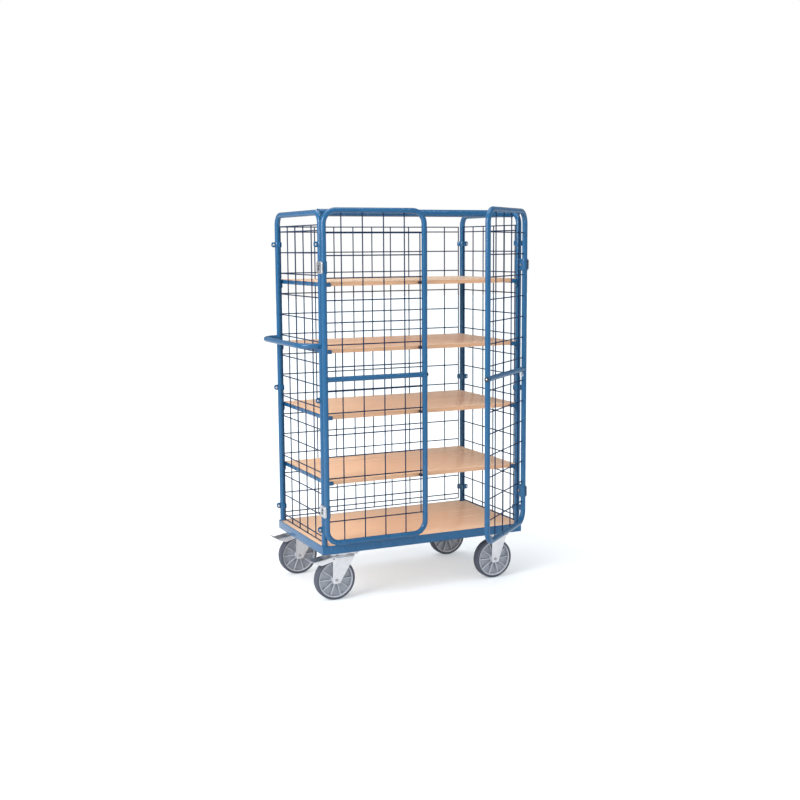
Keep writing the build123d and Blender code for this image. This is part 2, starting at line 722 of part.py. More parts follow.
# Castor bolts with their nuts
head = extrude(RegularPolygon(castor_bolt_head_radius, 6), -castor_bolt_head_height)
nut = extrude(RegularPolygon(castor_bolt_head_radius, 6), castor_nut_height)
bolt_top = flange_top + castor_nut_height + castor_bolt_end
castor_bolt = rod_z(castor_bolt_radius, plate_bottom, bolt_top)
castor_bolt += [Pos(0, 0, plate_bottom) * head, Pos(0, 0, flange_top) * nut]
save("castor_bolts", group([Pos(x, y, 0) * castor_bolt for x, y in castor_bolt_places]))
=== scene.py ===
"""Looks of a caged shelf trolley with two wing doors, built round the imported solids.

Every surface is worked out as a numpy grid in metres, in the frame of the solids: X along the trolley with
the push handle at the low end, Y to the rear, Z up from the floor.
"""

from __future__ import annotations

import json
import logging
import math
from collections.abc import Sequence
from dataclasses import dataclass, field
from enum import Enum

import bpy
import numpy as np
from mathutils import Matrix
from mathutils.geometry import convex_hull_2d

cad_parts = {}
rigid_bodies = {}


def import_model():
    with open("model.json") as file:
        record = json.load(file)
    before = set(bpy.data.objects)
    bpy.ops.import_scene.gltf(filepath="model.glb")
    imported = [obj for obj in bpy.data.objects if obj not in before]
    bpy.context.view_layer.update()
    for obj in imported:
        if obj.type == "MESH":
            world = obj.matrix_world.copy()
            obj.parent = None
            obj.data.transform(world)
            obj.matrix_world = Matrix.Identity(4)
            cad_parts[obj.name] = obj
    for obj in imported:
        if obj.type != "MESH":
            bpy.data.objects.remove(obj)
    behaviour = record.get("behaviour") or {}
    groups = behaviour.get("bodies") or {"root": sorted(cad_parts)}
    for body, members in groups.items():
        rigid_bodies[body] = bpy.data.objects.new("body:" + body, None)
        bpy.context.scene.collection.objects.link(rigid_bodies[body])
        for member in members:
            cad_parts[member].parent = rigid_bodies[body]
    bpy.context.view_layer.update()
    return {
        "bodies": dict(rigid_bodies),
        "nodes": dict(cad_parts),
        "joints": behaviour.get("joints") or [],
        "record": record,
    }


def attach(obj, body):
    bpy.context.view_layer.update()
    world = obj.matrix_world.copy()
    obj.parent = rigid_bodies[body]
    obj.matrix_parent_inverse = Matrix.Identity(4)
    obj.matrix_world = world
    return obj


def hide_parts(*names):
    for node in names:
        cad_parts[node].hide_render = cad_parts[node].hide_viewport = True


log = logging.getLogger("shelf_trolley")
logging.basicConfig(level=logging.INFO, format="%(name)s: %(message)s")

Pair = tuple[float, float]
Triple = tuple[float, float, float]
Colour = tuple[float, float, float]
Socket = bpy.types.NodeSocket
Node = bpy.types.Node
Tree = bpy.types.NodeTree
Material = bpy.types.Material
Thing = bpy.types.Object

# Radius of the eased edges of sheet metal, in metres
SHEET_EASE = 0.0006
# Sides of the round tubes
TUBE_SIDES = 40


class Axis(Enum):
    """Direction that a bar, a turned shape or a plate's thickness follows."""

    X = 0
    Y = 1
    Z = 2


class Slot(Enum):
    """Material slots of the record."""

    FRAME = "frame_paint"
    MESH = "mesh_paint"
    BEECH = "beech_board"
    ZINC = "zinc_steel"
    BLACK = "black_plastic"
    RIM = "rim_plastic"
    TYRE = "grey_tyre"


class Hand(Enum):
    """Side of the trolley that a door or an end belongs to."""

    LEFT = -1
    RIGHT = 1


# Shapes


@dataclass
class Shape:
    """Points with four-sided faces and a few many-sided caps."""

    points: np.ndarray
    quads: np.ndarray
    caps: list[np.ndarray] = field(default_factory=list)

    @staticmethod
    def merge(shapes: list[Shape]) -> Shape:
        """Put several shapes into one.

        Args:
            shapes: The shapes, each left as it is.

        Returns:
            One shape with all their points and faces.
        """
        starts = np.cumsum([0] + [len(shape.points) for shape in shapes])
        quads = [shape.quads + start for shape, start in zip(shapes, starts)]
        caps = [cap + start for shape, start in zip(shapes, starts) for cap in shape.caps]
        return Shape(np.vstack([shape.points for shape in shapes]), np.vstack(quads), caps)

    def flipped(self) -> Shape:
        """The same shape with its faces turned over."""
        return Shape(self.points, self.quads[:, ::-1], [cap[::-1] for cap in self.caps])

    def outward(self) -> Shape:
        """Turn the faces of a closed shape outwards, by the sign of the volume they enclose.

        Returns:
            The shape, turned where it has to be.
        """
        middle = self.points.mean(axis=0)
        corners = self.points[self.quads] - middle
        volume = np.einsum("ij,ij->i", corners[:, 0], np.cross(corners[:, 1], corners[:, 2])).sum()
        volume += np.einsum("ij,ij->i", corners[:, 0], np.cross(corners[:, 2], corners[:, 3])).sum()
        for cap in self.caps:
            rim = self.points[cap] - middle
            volume += (np.cross(rim[1:-1], rim[2:]) @ rim[0]).sum()
        return self if volume > 0 else self.flipped()

    def moved(self, x: float = 0.0, y: float = 0.0, z: float = 0.0) -> Shape:
        """The same shape somewhere else."""
        return Shape(self.points + np.array([x, y, z]), self.quads, self.caps)

    def turned(self, axis: Axis, degrees: float) -> Shape:
        """The same shape turned about an axis through the origin."""
        turn = np.array(Matrix.Rotation(math.radians(degrees), 3, axis.name))
        return Shape(self.points @ turn.T, self.quads, self.caps)

    def mirrored(self, axis: Axis) -> Shape:
        """The same shape on the other side of the origin along an axis.

        Args:
            axis: The axis.

        Returns:
            The mirrored shape, its faces still outwards.
        """
        scale = np.ones(3)
        scale[axis.value] = -1
        return Shape(self.points * scale, self.quads, self.caps).flipped()

    def paired(self, axis: Axis) -> Shape:
        """The shape together with its image on the other side of the origin."""
        return Shape.merge([self, self.mirrored(axis)])

    def repeated(self, places: np.ndarray) -> Shape:
        """Copies of the shape at many places.

        Args:
            places: One row of X, Y, Z for each copy.

        Returns:
            One shape with all the copies.
        """
        count, size = len(places), len(self.points)
        steps = np.arange(count) * size
        points = (self.points[None] + np.asarray(places)[:, None]).reshape(-1, 3)
        quads = (self.quads[None] + steps[:, None, None]).reshape(-1, 4)
        return Shape(points, quads, [cap + step for step in steps for cap in self.caps])


def full_turn(count: int) -> np.ndarray:
    """Angles of a full turn in equal steps."""
    return np.linspace(0, 2 * math.pi, count, endpoint=False)


def surface(points: np.ndarray, wrap_rows: bool, wrap_columns: bool, capped: bool = False) -> Shape:
    """Join a grid of points into faces, each point to its neighbours along rows and columns.

    Args:
        points: Grid of points, rows by columns by three.
        wrap_rows: Whether the last row meets the first.
        wrap_columns: Whether the last column meets the first.
        capped: Whether the first and last rows are closed by a cap.

    Returns:
        The surface, with its faces outwards where it is closed.
    """
    rows, columns = points.shape[:2]
    index = np.arange(rows * columns).reshape(rows, columns)
    caps = [index[0][::-1].copy(), index[-1].copy()] if capped else []
    if wrap_rows:
        index = np.vstack([index, index[:1]])
    if wrap_columns:
        index = np.hstack([index, index[:, :1]])
    corners = [index[:-1, :-1], index[:-1, 1:], index[1:, 1:], index[1:, :-1]]
    quads = np.stack(corners, axis=-1).reshape(-1, 4)
    return Shape(points.reshape(-1, 3), quads, caps).outward()


def rounded(corners: Sequence, radius: float | Sequence, steps: int = 6, closed: bool = False) -> np.ndarray:
    """Line through corners with an arc at each: the arc touches both runs at radius / tan(half the angle).

    Args:
        corners: Corner points in two or three dimensions.
        radius: One radius for every corner, or one for each.
        steps: Parts that each arc is divided into.
        closed: Whether the line comes back to its first corner.

    Returns:
        Points along the line.
    """
    given = np.array(corners, float)
    radii = np.broadcast_to(radius, len(given))
    runs = []
    for i, (corner, bend) in enumerate(zip(given, radii)):
        inside = closed or 0 < i < len(given) - 1
        if not inside or bend <= 0:
            runs.append(corner[None])
            continue
        to_last = given[i - 1] - corner
        to_next = given[(i + 1) % len(given)] - corner
        to_last = to_last / np.linalg.norm(to_last)
        to_next = to_next / np.linalg.norm(to_next)
        half = math.acos(np.clip(to_last @ to_next, -1, 1)) / 2
        middle = (to_last + to_next) / np.linalg.norm(to_last + to_next)
        centre = corner + middle * bend / math.sin(half)
        first = corner + to_last * bend / math.tan(half) - centre
        last = corner + to_next * bend / math.tan(half) - centre
        sweep = math.pi - 2 * half
        share = np.linspace(0, 1, steps + 1)[:, None]
        arc = (np.sin((1 - share) * sweep) * first + np.sin(share * sweep) * last) / math.sin(sweep)
        runs.append(centre + arc)
    return np.vstack(runs)


def tube(path: np.ndarray, radius: float | np.ndarray, reference: Triple, sides: int = 32,
         closed: bool = False) -> Shape:
    """Circle carried along a path: point = path + radius (cos a * normal + sin a * binormal).

    Args:
        path: Points of the path.
        radius: One radius, or one for each point of the path.
        reference: Direction that the path never follows, which the binormal is square to.
        sides: Sides of the circle.
        closed: Whether the path comes back to its start.

    Returns:
        The tube, capped where it is open.
    """
    if closed:
        ahead = np.roll(path, -1, axis=0) - np.roll(path, 1, axis=0)
    else:
        ahead = np.gradient(path, axis=0)
    ahead = ahead / np.linalg.norm(ahead, axis=1, keepdims=True)
    side = np.cross(ahead, np.array(reference, float))
    side = side / np.linalg.norm(side, axis=1, keepdims=True)
    up = np.cross(side, ahead)
    angle = full_turn(sides)
    ring = np.cos(angle)[None, :, None] * side[:, None] + np.sin(angle)[None, :, None] * up[:, None]
    size = np.broadcast_to(radius, len(path))[:, None, None]
    return surface(path[:, None] + ring * size, closed, True, capped=not closed)


def bar(start: Triple, end: Triple, radius: float, sides: int = 24, ease: float = 0.0) -> Shape:
    """Straight round bar: a circle carried from one end to the other, drawn in at both ends.

    Args:
        start: Middle of one end.
        end: Middle of the other end.
        radius: Radius of the bar.
        sides: Sides of the circle.
        ease: Size of the chamfer at the ends, none where it is zero.

    Returns:
        The bar with its ends capped.
    """
    first, last = np.array(start, float), np.array(end, float)
    ahead = (last - first) / np.linalg.norm(last - first)
    reference = (0, 0, 1) if abs(ahead[2]) < 0.9 else (1, 0, 0)
    if ease <= 0:
        return tube(np.stack([first, last]), radius, reference, sides)
    path = np.stack([first, first + ahead * ease, last - ahead * ease, last])
    return tube(path, np.array([radius - ease, radius, radius, radius - ease]), reference, sides)


def turned_profile(profile: np.ndarray, axis: Axis, sides: int = 48, closed: bool = False) -> Shape:
    """Profile of radius and height turned about an axis: (r cos a, r sin a) square to it, height along it.

    Args:
        profile: Points of radius and height.
        axis: Axis of the turning.
        sides: Steps of the full turn.
        closed: Whether the profile is a closed loop, as in a ring.

    Returns:
        The turned shape, capped where the profile is open.
    """
    angle = full_turn(sides)
    radius, height = profile[:, 0][:, None], profile[:, 1][:, None]
    parts = [radius * np.cos(angle), radius * np.sin(angle), np.broadcast_to(height, (len(profile), sides))]
    order = {Axis.X: (2, 0, 1), Axis.Y: (1, 2, 0), Axis.Z: (0, 1, 2)}[axis]
    points = np.stack([parts[i] for i in order], axis=-1)
    return surface(points, closed, True, capped=not closed)


def plate(outline: np.ndarray, low: float, high: float, edge: float, axis: Axis = Axis.Z,
          steps: int = 3) -> Shape:
    """Flat plate: its outline drawn in by edge (1 - sin a) over a quarter circle at both faces.

    Args:
        outline: Closed outline in the plane square to the axis, as X Y, X Z or Y Z.
        low: Lower face along the axis.
        high: Upper face along the axis.
        edge: Radius of the rounded edges.
        axis: Direction of the thickness.
        steps: Parts of each rounded edge.

    Returns:
        The closed plate.
    """
    ahead = np.roll(outline, -1, axis=0) - outline
    ahead = ahead / np.linalg.norm(ahead, axis=1, keepdims=True)
    square = np.stack([ahead[:, 1], -ahead[:, 0]], axis=1)
    lean = square + np.roll(square, 1, axis=0)
    least = 0.2
    lean = lean / np.maximum((lean * square).sum(axis=1, keepdims=True), least)
    turn = np.sum(outline[:, 0] * np.roll(outline[:, 1], -1) - outline[:, 1] * np.roll(outline[:, 0], -1))
    lean = lean * np.sign(turn)
    bend = np.linspace(0, math.pi / 2, steps + 1)
    inset = np.concatenate([edge * (1 - np.sin(bend)), edge * (1 - np.cos(bend))])
    level = np.concatenate([low + edge * (1 - np.cos(bend)), high - edge * (1 - np.sin(bend))])
    flat = outline[None] - lean[None] * inset[:, None, None]
    height = np.broadcast_to(level[:, None], flat.shape[:2])
    order = {Axis.X: (height, flat[..., 0], flat[..., 1]), Axis.Y: (flat[..., 0], height, flat[..., 1]),
             Axis.Z: (flat[..., 0], flat[..., 1], height)}[axis]
    return surface(np.stack(order, axis=-1), False, True, capped=True)


def box_outline(x: Pair, y: Pair, corner: float = 0.0, steps: int = 5) -> np.ndarray:
    """Rectangle between two places on each axis, its corners rounded."""
    corners = [(x[0], y[0]), (x[1], y[0]), (x[1], y[1]), (x[0], y[1])]
    return rounded(corners, corner, steps, closed=True)


def evenly(outline: np.ndarray, count: int) -> np.ndarray:
    """Closed outline with its points spread evenly along its length.

    Args:
        outline: Points of the outline.
        count: Points that it gets.

    Returns:
        The new points, each found by its place along the outline.
    """
    loop = np.vstack([outline, outline[:1]])
    length = np.concatenate([[0], np.cumsum(np.linalg.norm(np.diff(loop, axis=0), axis=1))])
    place = np.linspace(0, length[-1], count, endpoint=False)
    return np.stack([np.interp(place, length, loop[:, i]) for i in range(2)], axis=1)


def circle(radius: float, count: int = 48, centre: Pair = (0.0, 0.0)) -> np.ndarray:
    """Points round a circle."""
    angle = full_turn(count)
    return np.stack([centre[0] + radius * np.cos(angle), centre[1] + radius * np.sin(angle)], axis=1)


def hull_of(points: np.ndarray) -> np.ndarray:
    """Outline stretched round a set of flat points."""
    order = convex_hull_2d([tuple(point) for point in points])
    return points[order]


def hexagon_radius(angle: np.ndarray, across: float) -> np.ndarray:
    """Distance from a hexagon's centre to its side: half the width across flats / cos(angle to the flat)."""
    return across / 2 / np.cos((angle + math.pi / 6) % (math.pi / 3) - math.pi / 6)


def hexagon_block(across: float, low: float, high: float, ease: float, bore: float = 0.0) -> Shape:
    """Hexagon nut or bolt head along Z whose end corners are turned off.

    Args:
        across: Width across flats.
        low: Lower end.
        high: Upper end.
        ease: Height over which the corners are turned off.
        bore: Radius of a shallow round sink in the upper end, none where it is zero.

    Returns:
        The closed block.
    """
    turned_off, taper = 0.97, 0.9
    angle = full_turn(48)
    wide = hexagon_radius(angle, across)
    round_end = np.minimum(wide, across / 2 * turned_off)
    rows = [(round_end, low), (wide, low + ease), (wide, high - ease), (round_end, high)]
    if bore > 0:
        rows += [(np.full_like(wide, bore), high), (np.full_like(wide, bore * taper), high - ease)]
    points = np.stack([np.stack([r * np.cos(angle), r * np.sin(angle), np.full_like(r, z)], axis=-1)
                       for r, z in rows])
    return surface(points, False, True, capped=True)


def socket_screw(radius: float, height: float, across: float) -> Shape:
    """Domed screw head along X with a hexagon socket, seated at the origin.

    The dome is a quarter ellipse from the rim to the flat, and the socket follows the hexagon's radius.

    Args:
        radius: Radius of the head.
        height: Height of the head.
        across: Width of the socket across flats.

    Returns:
        The closed head.
    """
    skirt, taper, floor = 0.25, 0.96, 0.35
    angle = full_turn(36)
    bend = np.linspace(0, math.pi / 2, 7)[:-1]
    lip = radius * 0.62
    rows = [(np.full_like(angle, radius), 0.0)]
    rows += [(np.full_like(angle, lip + (radius - lip) * math.cos(a)),
              height * (skirt + (1 - skirt) * math.sin(a))) for a in bend]
    rows += [(np.full_like(angle, lip), height), (hexagon_radius(angle, across), height),
             (hexagon_radius(angle, across * taper), height * floor)]
    points = np.stack([np.stack([np.full_like(r, x), r * np.cos(angle), r * np.sin(angle)], axis=-1)
                       for r, x in rows])
    return surface(points, False, True, capped=True)


def weld_bead(path: np.ndarray, radius: float, reference: Triple, ripples: int, closed: bool = True) -> Shape:
    """Bead of weld along a path, its radius swelling as radius (0.86 + 0.14 |sin|) once for each ripple.

    Args:
        path: Points of the path.
        radius: Largest radius of the bead.
        reference: Direction that the path never follows.
        ripples: Swellings along the whole path.
        closed: Whether the path comes back to its start.

    Returns:
        The bead.
    """
    share = np.linspace(0, 1, len(path), endpoint=not closed)
    size = radius * (0.86 + 0.14 * np.abs(np.sin(math.pi * ripples * share)))
    return tube(path, size, reference, 10, closed)


def saddle_weld(radius: float, post: float, bead: float, ripples: int) -> Shape:
    """Bead where a bar along X meets a post along Z at the origin: x = sqrt(into^2 - (reach cos a)^2).

    Args:
        radius: Radius of the bar.
        post: Radius of the post.
        bead: Radius of the bead, whose line lies a little outside both.
        ripples: Swellings round the bead.

    Returns:
        The bead on the side of the post that X points to.
    """
    reach, into = radius + 0.0004, post + 0.0008
    angle = full_turn(96)
    y = reach * np.cos(angle)
    x = np.sqrt(into ** 2 - np.minimum(np.abs(y), into) ** 2)
    return weld_bead(np.stack([x, y, reach * np.sin(angle)], axis=1), bead, (1, 0, 0), ripples)


def weld_nugget(radius: float) -> Shape:
    """Small flattened ball of weld: a turned half ellipse, radius cos a by 0.72 radius sin a."""
    rise = np.linspace(-0.45, 0.45, 6) * math.pi
    return turned_profile(np.stack([radius * np.cos(rise), radius * 0.72 * np.sin(rise)], axis=1), Axis.Z, 10)


def along(axis: Axis, places: Sequence | np.ndarray) -> np.ndarray:
    """Rows of X, Y, Z for places along one axis.

    Args:
        axis: The axis.
        places: Where along it, in metres.

    Returns:
        An array of one row for each place.
    """
    rows = np.zeros((len(places), 3))
    rows[:, axis.value] = places
    return rows


# Finishes


@dataclass(frozen=True)
class Paint:
    """Powder coat: its colour, the size of its orange peel and how glossy it is."""

    name: str
    colour: Colour
    peel: float = 620.0
    bump: Pair = (0.05, 0.0004)
    rough: Pair = (0.22, 0.32)
    coat: float = 0.4
    coat_rough: float = 0.08
    specular: float = 0.28


@dataclass(frozen=True)
class Laminate:
    """Beech decor: ground, streak and fleck colours and the stretch of the figure."""

    name: str
    ground: Colour
    streak: Colour
    fleck: Colour
    stretch: Triple = (1.6, 34.0, 34.0)
    flecks: float = 0.6
    bump: Pair = (0.12, 0.0003)
    rough: Pair = (0.18, 0.28)
    specular: float = 0.4


@dataclass(frozen=True)
class Plating:
    """Bright zinc: its light and dull tones and how sharp it reflects."""

    name: str
    light: Colour
    dull: Colour
    scale: float = 55.0
    bump: Pair = (0.05, 0.0003)
    rough: Pair = (0.28, 0.40)


@dataclass(frozen=True)
class Moulding:
    """Plastic or rubber: its colour, the skin of the mould and a paler bloom."""

    name: str
    colour: Colour
    bloom: Colour
    skin: float = 900.0
    bump: Pair = (0.10, 0.0004)
    bloom_share: float = 0.25
    rough: Pair = (0.42, 0.58)


Recipe = Paint | Laminate | Plating | Moulding


def linear(red: int, green: int, blue: int) -> Colour:
    """Screen colour of 0 to 255 turned into the linear light that shaders take.

    Args:
        red: Red.
        green: Green.
        blue: Blue.

    Returns:
        Red, green and blue from 0 to 1.
    """
    share = np.array([red, green, blue]) / 255
    value = np.where(share <= 0.04045, share / 12.92, ((share + 0.055) / 1.055) ** 2.4)
    return float(value[0]), float(value[1]), float(value[2])


BLUE = Paint("blue_powder_coat", linear(27, 85, 127))
# The frame's blue made darker for the thin wires: painted shade.
WIRE_SHADED_BLUE = Paint("wire_powder_coat", linear(17, 40, 70), peel=900.0, bump=(0.03, 0.0004),
                  coat=0.05, specular=0.1)
BEECH = Laminate("beech_decor", linear(250, 214, 180), linear(243, 204, 168), linear(222, 180, 142))
EDGE_BAND = Laminate("beech_edge_band", linear(210, 168, 136), linear(198, 154, 120), linear(178, 133, 101),
                     stretch=(3.0, 60.0, 120.0), flecks=0.35)
ZINC = Plating("bright_zinc", linear(236, 238, 241), linear(226, 229, 234))
CAP_ZINC = Plating("cap_zinc", linear(214, 218, 224), linear(196, 201, 208), scale=120.0, rough=(0.34, 0.46))
DARK_ZINC = Plating("fastener_zinc", linear(200, 203, 208), linear(164, 168, 176), scale=160.0)
BLACK = Moulding("black_moulding", linear(28, 28, 31), linear(44, 44, 48))
RIM_GREY = Moulding("rim_moulding", linear(178, 183, 191), linear(187, 191, 199), skin=600.0,
                    bump=(0.05, 0.0004))
# Darker copy of the rim grey: painted shade for the wheel's pockets between the ribs.
RIM_PAINTED_SHADE = Moulding("rim_recess", linear(154, 159, 169), linear(164, 168, 178), skin=600.0,
                     bump=(0.05, 0.0004))
TYRE_GREY = Moulding("tyre_rubber", linear(70, 75, 88), linear(88, 92, 104), skin=420.0,
                     bump=(0.16, 0.0004), rough=(0.58, 0.75))


class Graph:
    """A node tree with a short way to add and join nodes."""

    def __init__(self, tree: Tree) -> None:
        """Keep the tree that nodes are added to."""
        self.tree = tree

    def node(self, kind: str, **values: object) -> Node:
        """Add a node and set its plain properties.

        Args:
            kind: Blender's name of the kind.
            **values: Properties by name.

        Returns:
            The node.
        """
        made = self.tree.nodes.new(kind)
        for name, value in values.items():
            setattr(made, name, value)
        return made

    def join(self, source: Socket, target: Socket) -> None:
        """Link an output to an input."""
        self.tree.links.new(source, target)

    def place(self) -> Socket:
        """Add the object's own coordinates."""
        return self.node("ShaderNodeTexCoord").outputs["Object"]

    def noise(self, vector: Socket, scale: float | Socket, detail: float) -> Node:
        """Add a noise texture.

        Args:
            vector: Coordinates that it lies on.
            scale: Its scale, a number or a socket.
            detail: Its octaves.

        Returns:
            The texture node.
        """
        made = self.node("ShaderNodeTexNoise")
        made.inputs["Detail"].default_value = detail
        self.join(vector, made.inputs["Vector"])
        if isinstance(scale, Socket):
            self.join(scale, made.inputs["Scale"])
        else:
            made.inputs["Scale"].default_value = scale
        return made

    def span(self, value: Socket, start: Pair, end: Sequence) -> Socket:
        """Map a value from one span to another.

        Args:
            value: The value.
            start: Ends of the span that it comes from.
            end: Ends of the span that it goes to, numbers or sockets.

        Returns:
            The mapped value.
        """
        made = self.node("ShaderNodeMapRange")
        self.join(value, made.inputs["Value"])
        made.inputs["From Min"].default_value, made.inputs["From Max"].default_value = start
        for name, limit in zip(("To Min", "To Max"), end):
            if isinstance(limit, Socket):
                self.join(limit, made.inputs[name])
            else:
                made.inputs[name].default_value = limit
        return made.outputs["Result"]

    def blend(self, share: Socket, first: Socket, second: Socket) -> Socket:
        """Mix two colours by the share of the second.

        Args:
            share: Share of the second.
            first: One colour.
            second: The other.

        Returns:
            The mixed colour.
        """
        made = self.node("ShaderNodeMix", data_type="RGBA")
        self.join(share, made.inputs[0])
        self.join(first, made.inputs[6])
        self.join(second, made.inputs[7])
        return made.outputs[2]


class Effects:
    """Shader node groups that the finishes share."""

    def __init__(self) -> None:
        """Build each group once."""
        self.coat = self._powder_coat()
        self.beech = self._beech_figure()
        self.film = self._zinc_film()
        self.skin = self._mould_skin()

    @staticmethod
    def _start(name: str, colours: list[str], numbers: list[str]) -> tuple[Tree, Graph, dict, Node]:
        """Make a group with the inputs named, and with colour, roughness and height outputs.

        Args:
            name: Name of the group.
            colours: Names of its colour inputs.
            numbers: Names of its number inputs, to which the two ends of the roughness are added.

        Returns:
            The group, its graph, its input sockets by name and its output node.
        """
        group = bpy.data.node_groups.new(name, "ShaderNodeTree")
        inputs = [(label, "Color") for label in colours]
        inputs += [(label, "Float") for label in (*numbers, "Gloss", "Dull")]
        for label, kind in inputs:
            group.interface.new_socket(label, in_out="INPUT", socket_type="NodeSocket" + kind)
        for label, kind in (("Color", "Color"), ("Roughness", "Float"), ("Height", "Float")):
            group.interface.new_socket(label, in_out="OUTPUT", socket_type="NodeSocket" + kind)
        graph = Graph(group)
        given = graph.node("NodeGroupInput")
        ends = graph.node("NodeGroupOutput")
        return group, graph, {label: given.outputs[label] for label, _ in inputs}, ends

    @staticmethod
    def _cloudy(graph: Graph, cloud: Socket, given: dict, ends: Node) -> None:
        """Let the roughness go from its glossy to its dull end with a cloud."""
        rough = graph.span(cloud, (0.3, 0.7), [given["Gloss"], given["Dull"]])
        graph.join(rough, ends.inputs["Roughness"])

    def _powder_coat(self) -> Tree:
        """Powder coat: slow mottle in the colour, orange peel in the height, cloudy gloss.

        Returns:
            The group.
        """
        group, graph, given, ends = self._start("powder_coat", ["Tint"], ["Peel"])
        place = graph.place()
        cloud = graph.noise(place, 7.0, 3.0).outputs["Fac"]
        speck = graph.noise(place, 240.0, 1.0).outputs["Fac"]
        tone = graph.node("ShaderNodeHueSaturation")
        both = graph.node("ShaderNodeMath", operation="MULTIPLY_ADD")
        graph.join(speck, both.inputs[0])
        both.inputs[1].default_value = 0.25
        graph.join(cloud, both.inputs[2])
        graph.join(graph.span(both.outputs[0], (0.3, 0.95), [0.93, 1.07]), tone.inputs["Value"])
        graph.join(given["Tint"], tone.inputs["Color"])
        graph.join(tone.outputs["Color"], ends.inputs["Color"])
        self._cloudy(graph, cloud, given, ends)
        graph.join(graph.noise(place, given["Peel"], 1.5).outputs["Fac"], ends.inputs["Height"])
        return group

    def _beech_figure(self) -> Tree:
        """Beech decor: long soft streaks with short dark flecks, both stretched along the board.

        Returns:
            The group.
        """
        group, graph, given, ends = self._start(
            "beech_figure", ["Ground", "Streak", "Fleck"], ["Along", "Across", "Through", "Flecks"])
        place = graph.place()
        pull = graph.node("ShaderNodeCombineXYZ")
        for axis, label in zip("XYZ", ("Along", "Across", "Through")):
            graph.join(given[label], pull.inputs[axis])
        stretch = graph.node("ShaderNodeVectorMath", operation="MULTIPLY")
        graph.join(place, stretch.inputs[0])
        graph.join(pull.outputs[0], stretch.inputs[1])
        streak = graph.noise(stretch.outputs[0], 1.0, 5.0)
        streak.inputs["Distortion"].default_value = 0.5
        wide = graph.noise(stretch.outputs[0], 0.22, 2.0).outputs["Fac"]
        both = graph.node("ShaderNodeMath", operation="MULTIPLY_ADD")
        graph.join(wide, both.inputs[0])
        both.inputs[1].default_value = 0.6
        graph.join(streak.outputs["Fac"], both.inputs[2])
        share = graph.span(both.outputs[0], (0.55, 1.1), [0.0, 1.0])
        body = graph.blend(share, given["Ground"], given["Streak"])
        fleck = graph.noise(stretch.outputs[0], 9.0, 1.0).outputs["Fac"]
        mark = graph.span(fleck, (0.66, 0.76), [0.0, given["Flecks"]])
        graph.join(graph.blend(mark, body, given["Fleck"]), ends.inputs["Color"])
        self._cloudy(graph, streak.outputs["Fac"], given, ends)
        graph.join(graph.span(mark, (0.0, 1.0), [1.0, 0.0]), ends.inputs["Height"])
        return group

    def _zinc_film(self) -> Tree:
        """Zinc plating: cloudy light and dull patches, with a fine grain in the height.

        Returns:
            The group.
        """
        group, graph, given, ends = self._start("zinc_film", ["Light", "Dull Tone"], ["Scale"])
        place = graph.place()
        cloud = graph.noise(place, given["Scale"], 4.0).outputs["Fac"]
        share = graph.span(cloud, (0.35, 0.7), [0.0, 1.0])
        graph.join(graph.blend(share, given["Light"], given["Dull Tone"]), ends.inputs["Color"])
        self._cloudy(graph, cloud, given, ends)
        graph.join(graph.noise(place, 480.0, 1.0).outputs["Fac"], ends.inputs["Height"])
        return group

    def _mould_skin(self) -> Tree:
        """Moulded skin: fine grain in the height and a faint pale bloom in the colour.

        Returns:
            The group.
        """
        group, graph, given, ends = self._start("mould_skin", ["Tint", "Bloom"], ["Skin", "Share"])
        place = graph.place()
        cloud = graph.noise(place, 24.0, 4.0).outputs["Fac"]
        share = graph.span(cloud, (0.45, 0.75), [0.0, given["Share"]])
        graph.join(graph.blend(share, given["Tint"], given["Bloom"]), ends.inputs["Color"])
        self._cloudy(graph, cloud, given, ends)
        graph.join(graph.noise(place, given["Skin"], 2.0).outputs["Fac"], ends.inputs["Height"])
        return group


@dataclass(frozen=True)
class Finish:
    """A material and the slot of the record that it belongs to."""

    material: Material
    slot: Slot


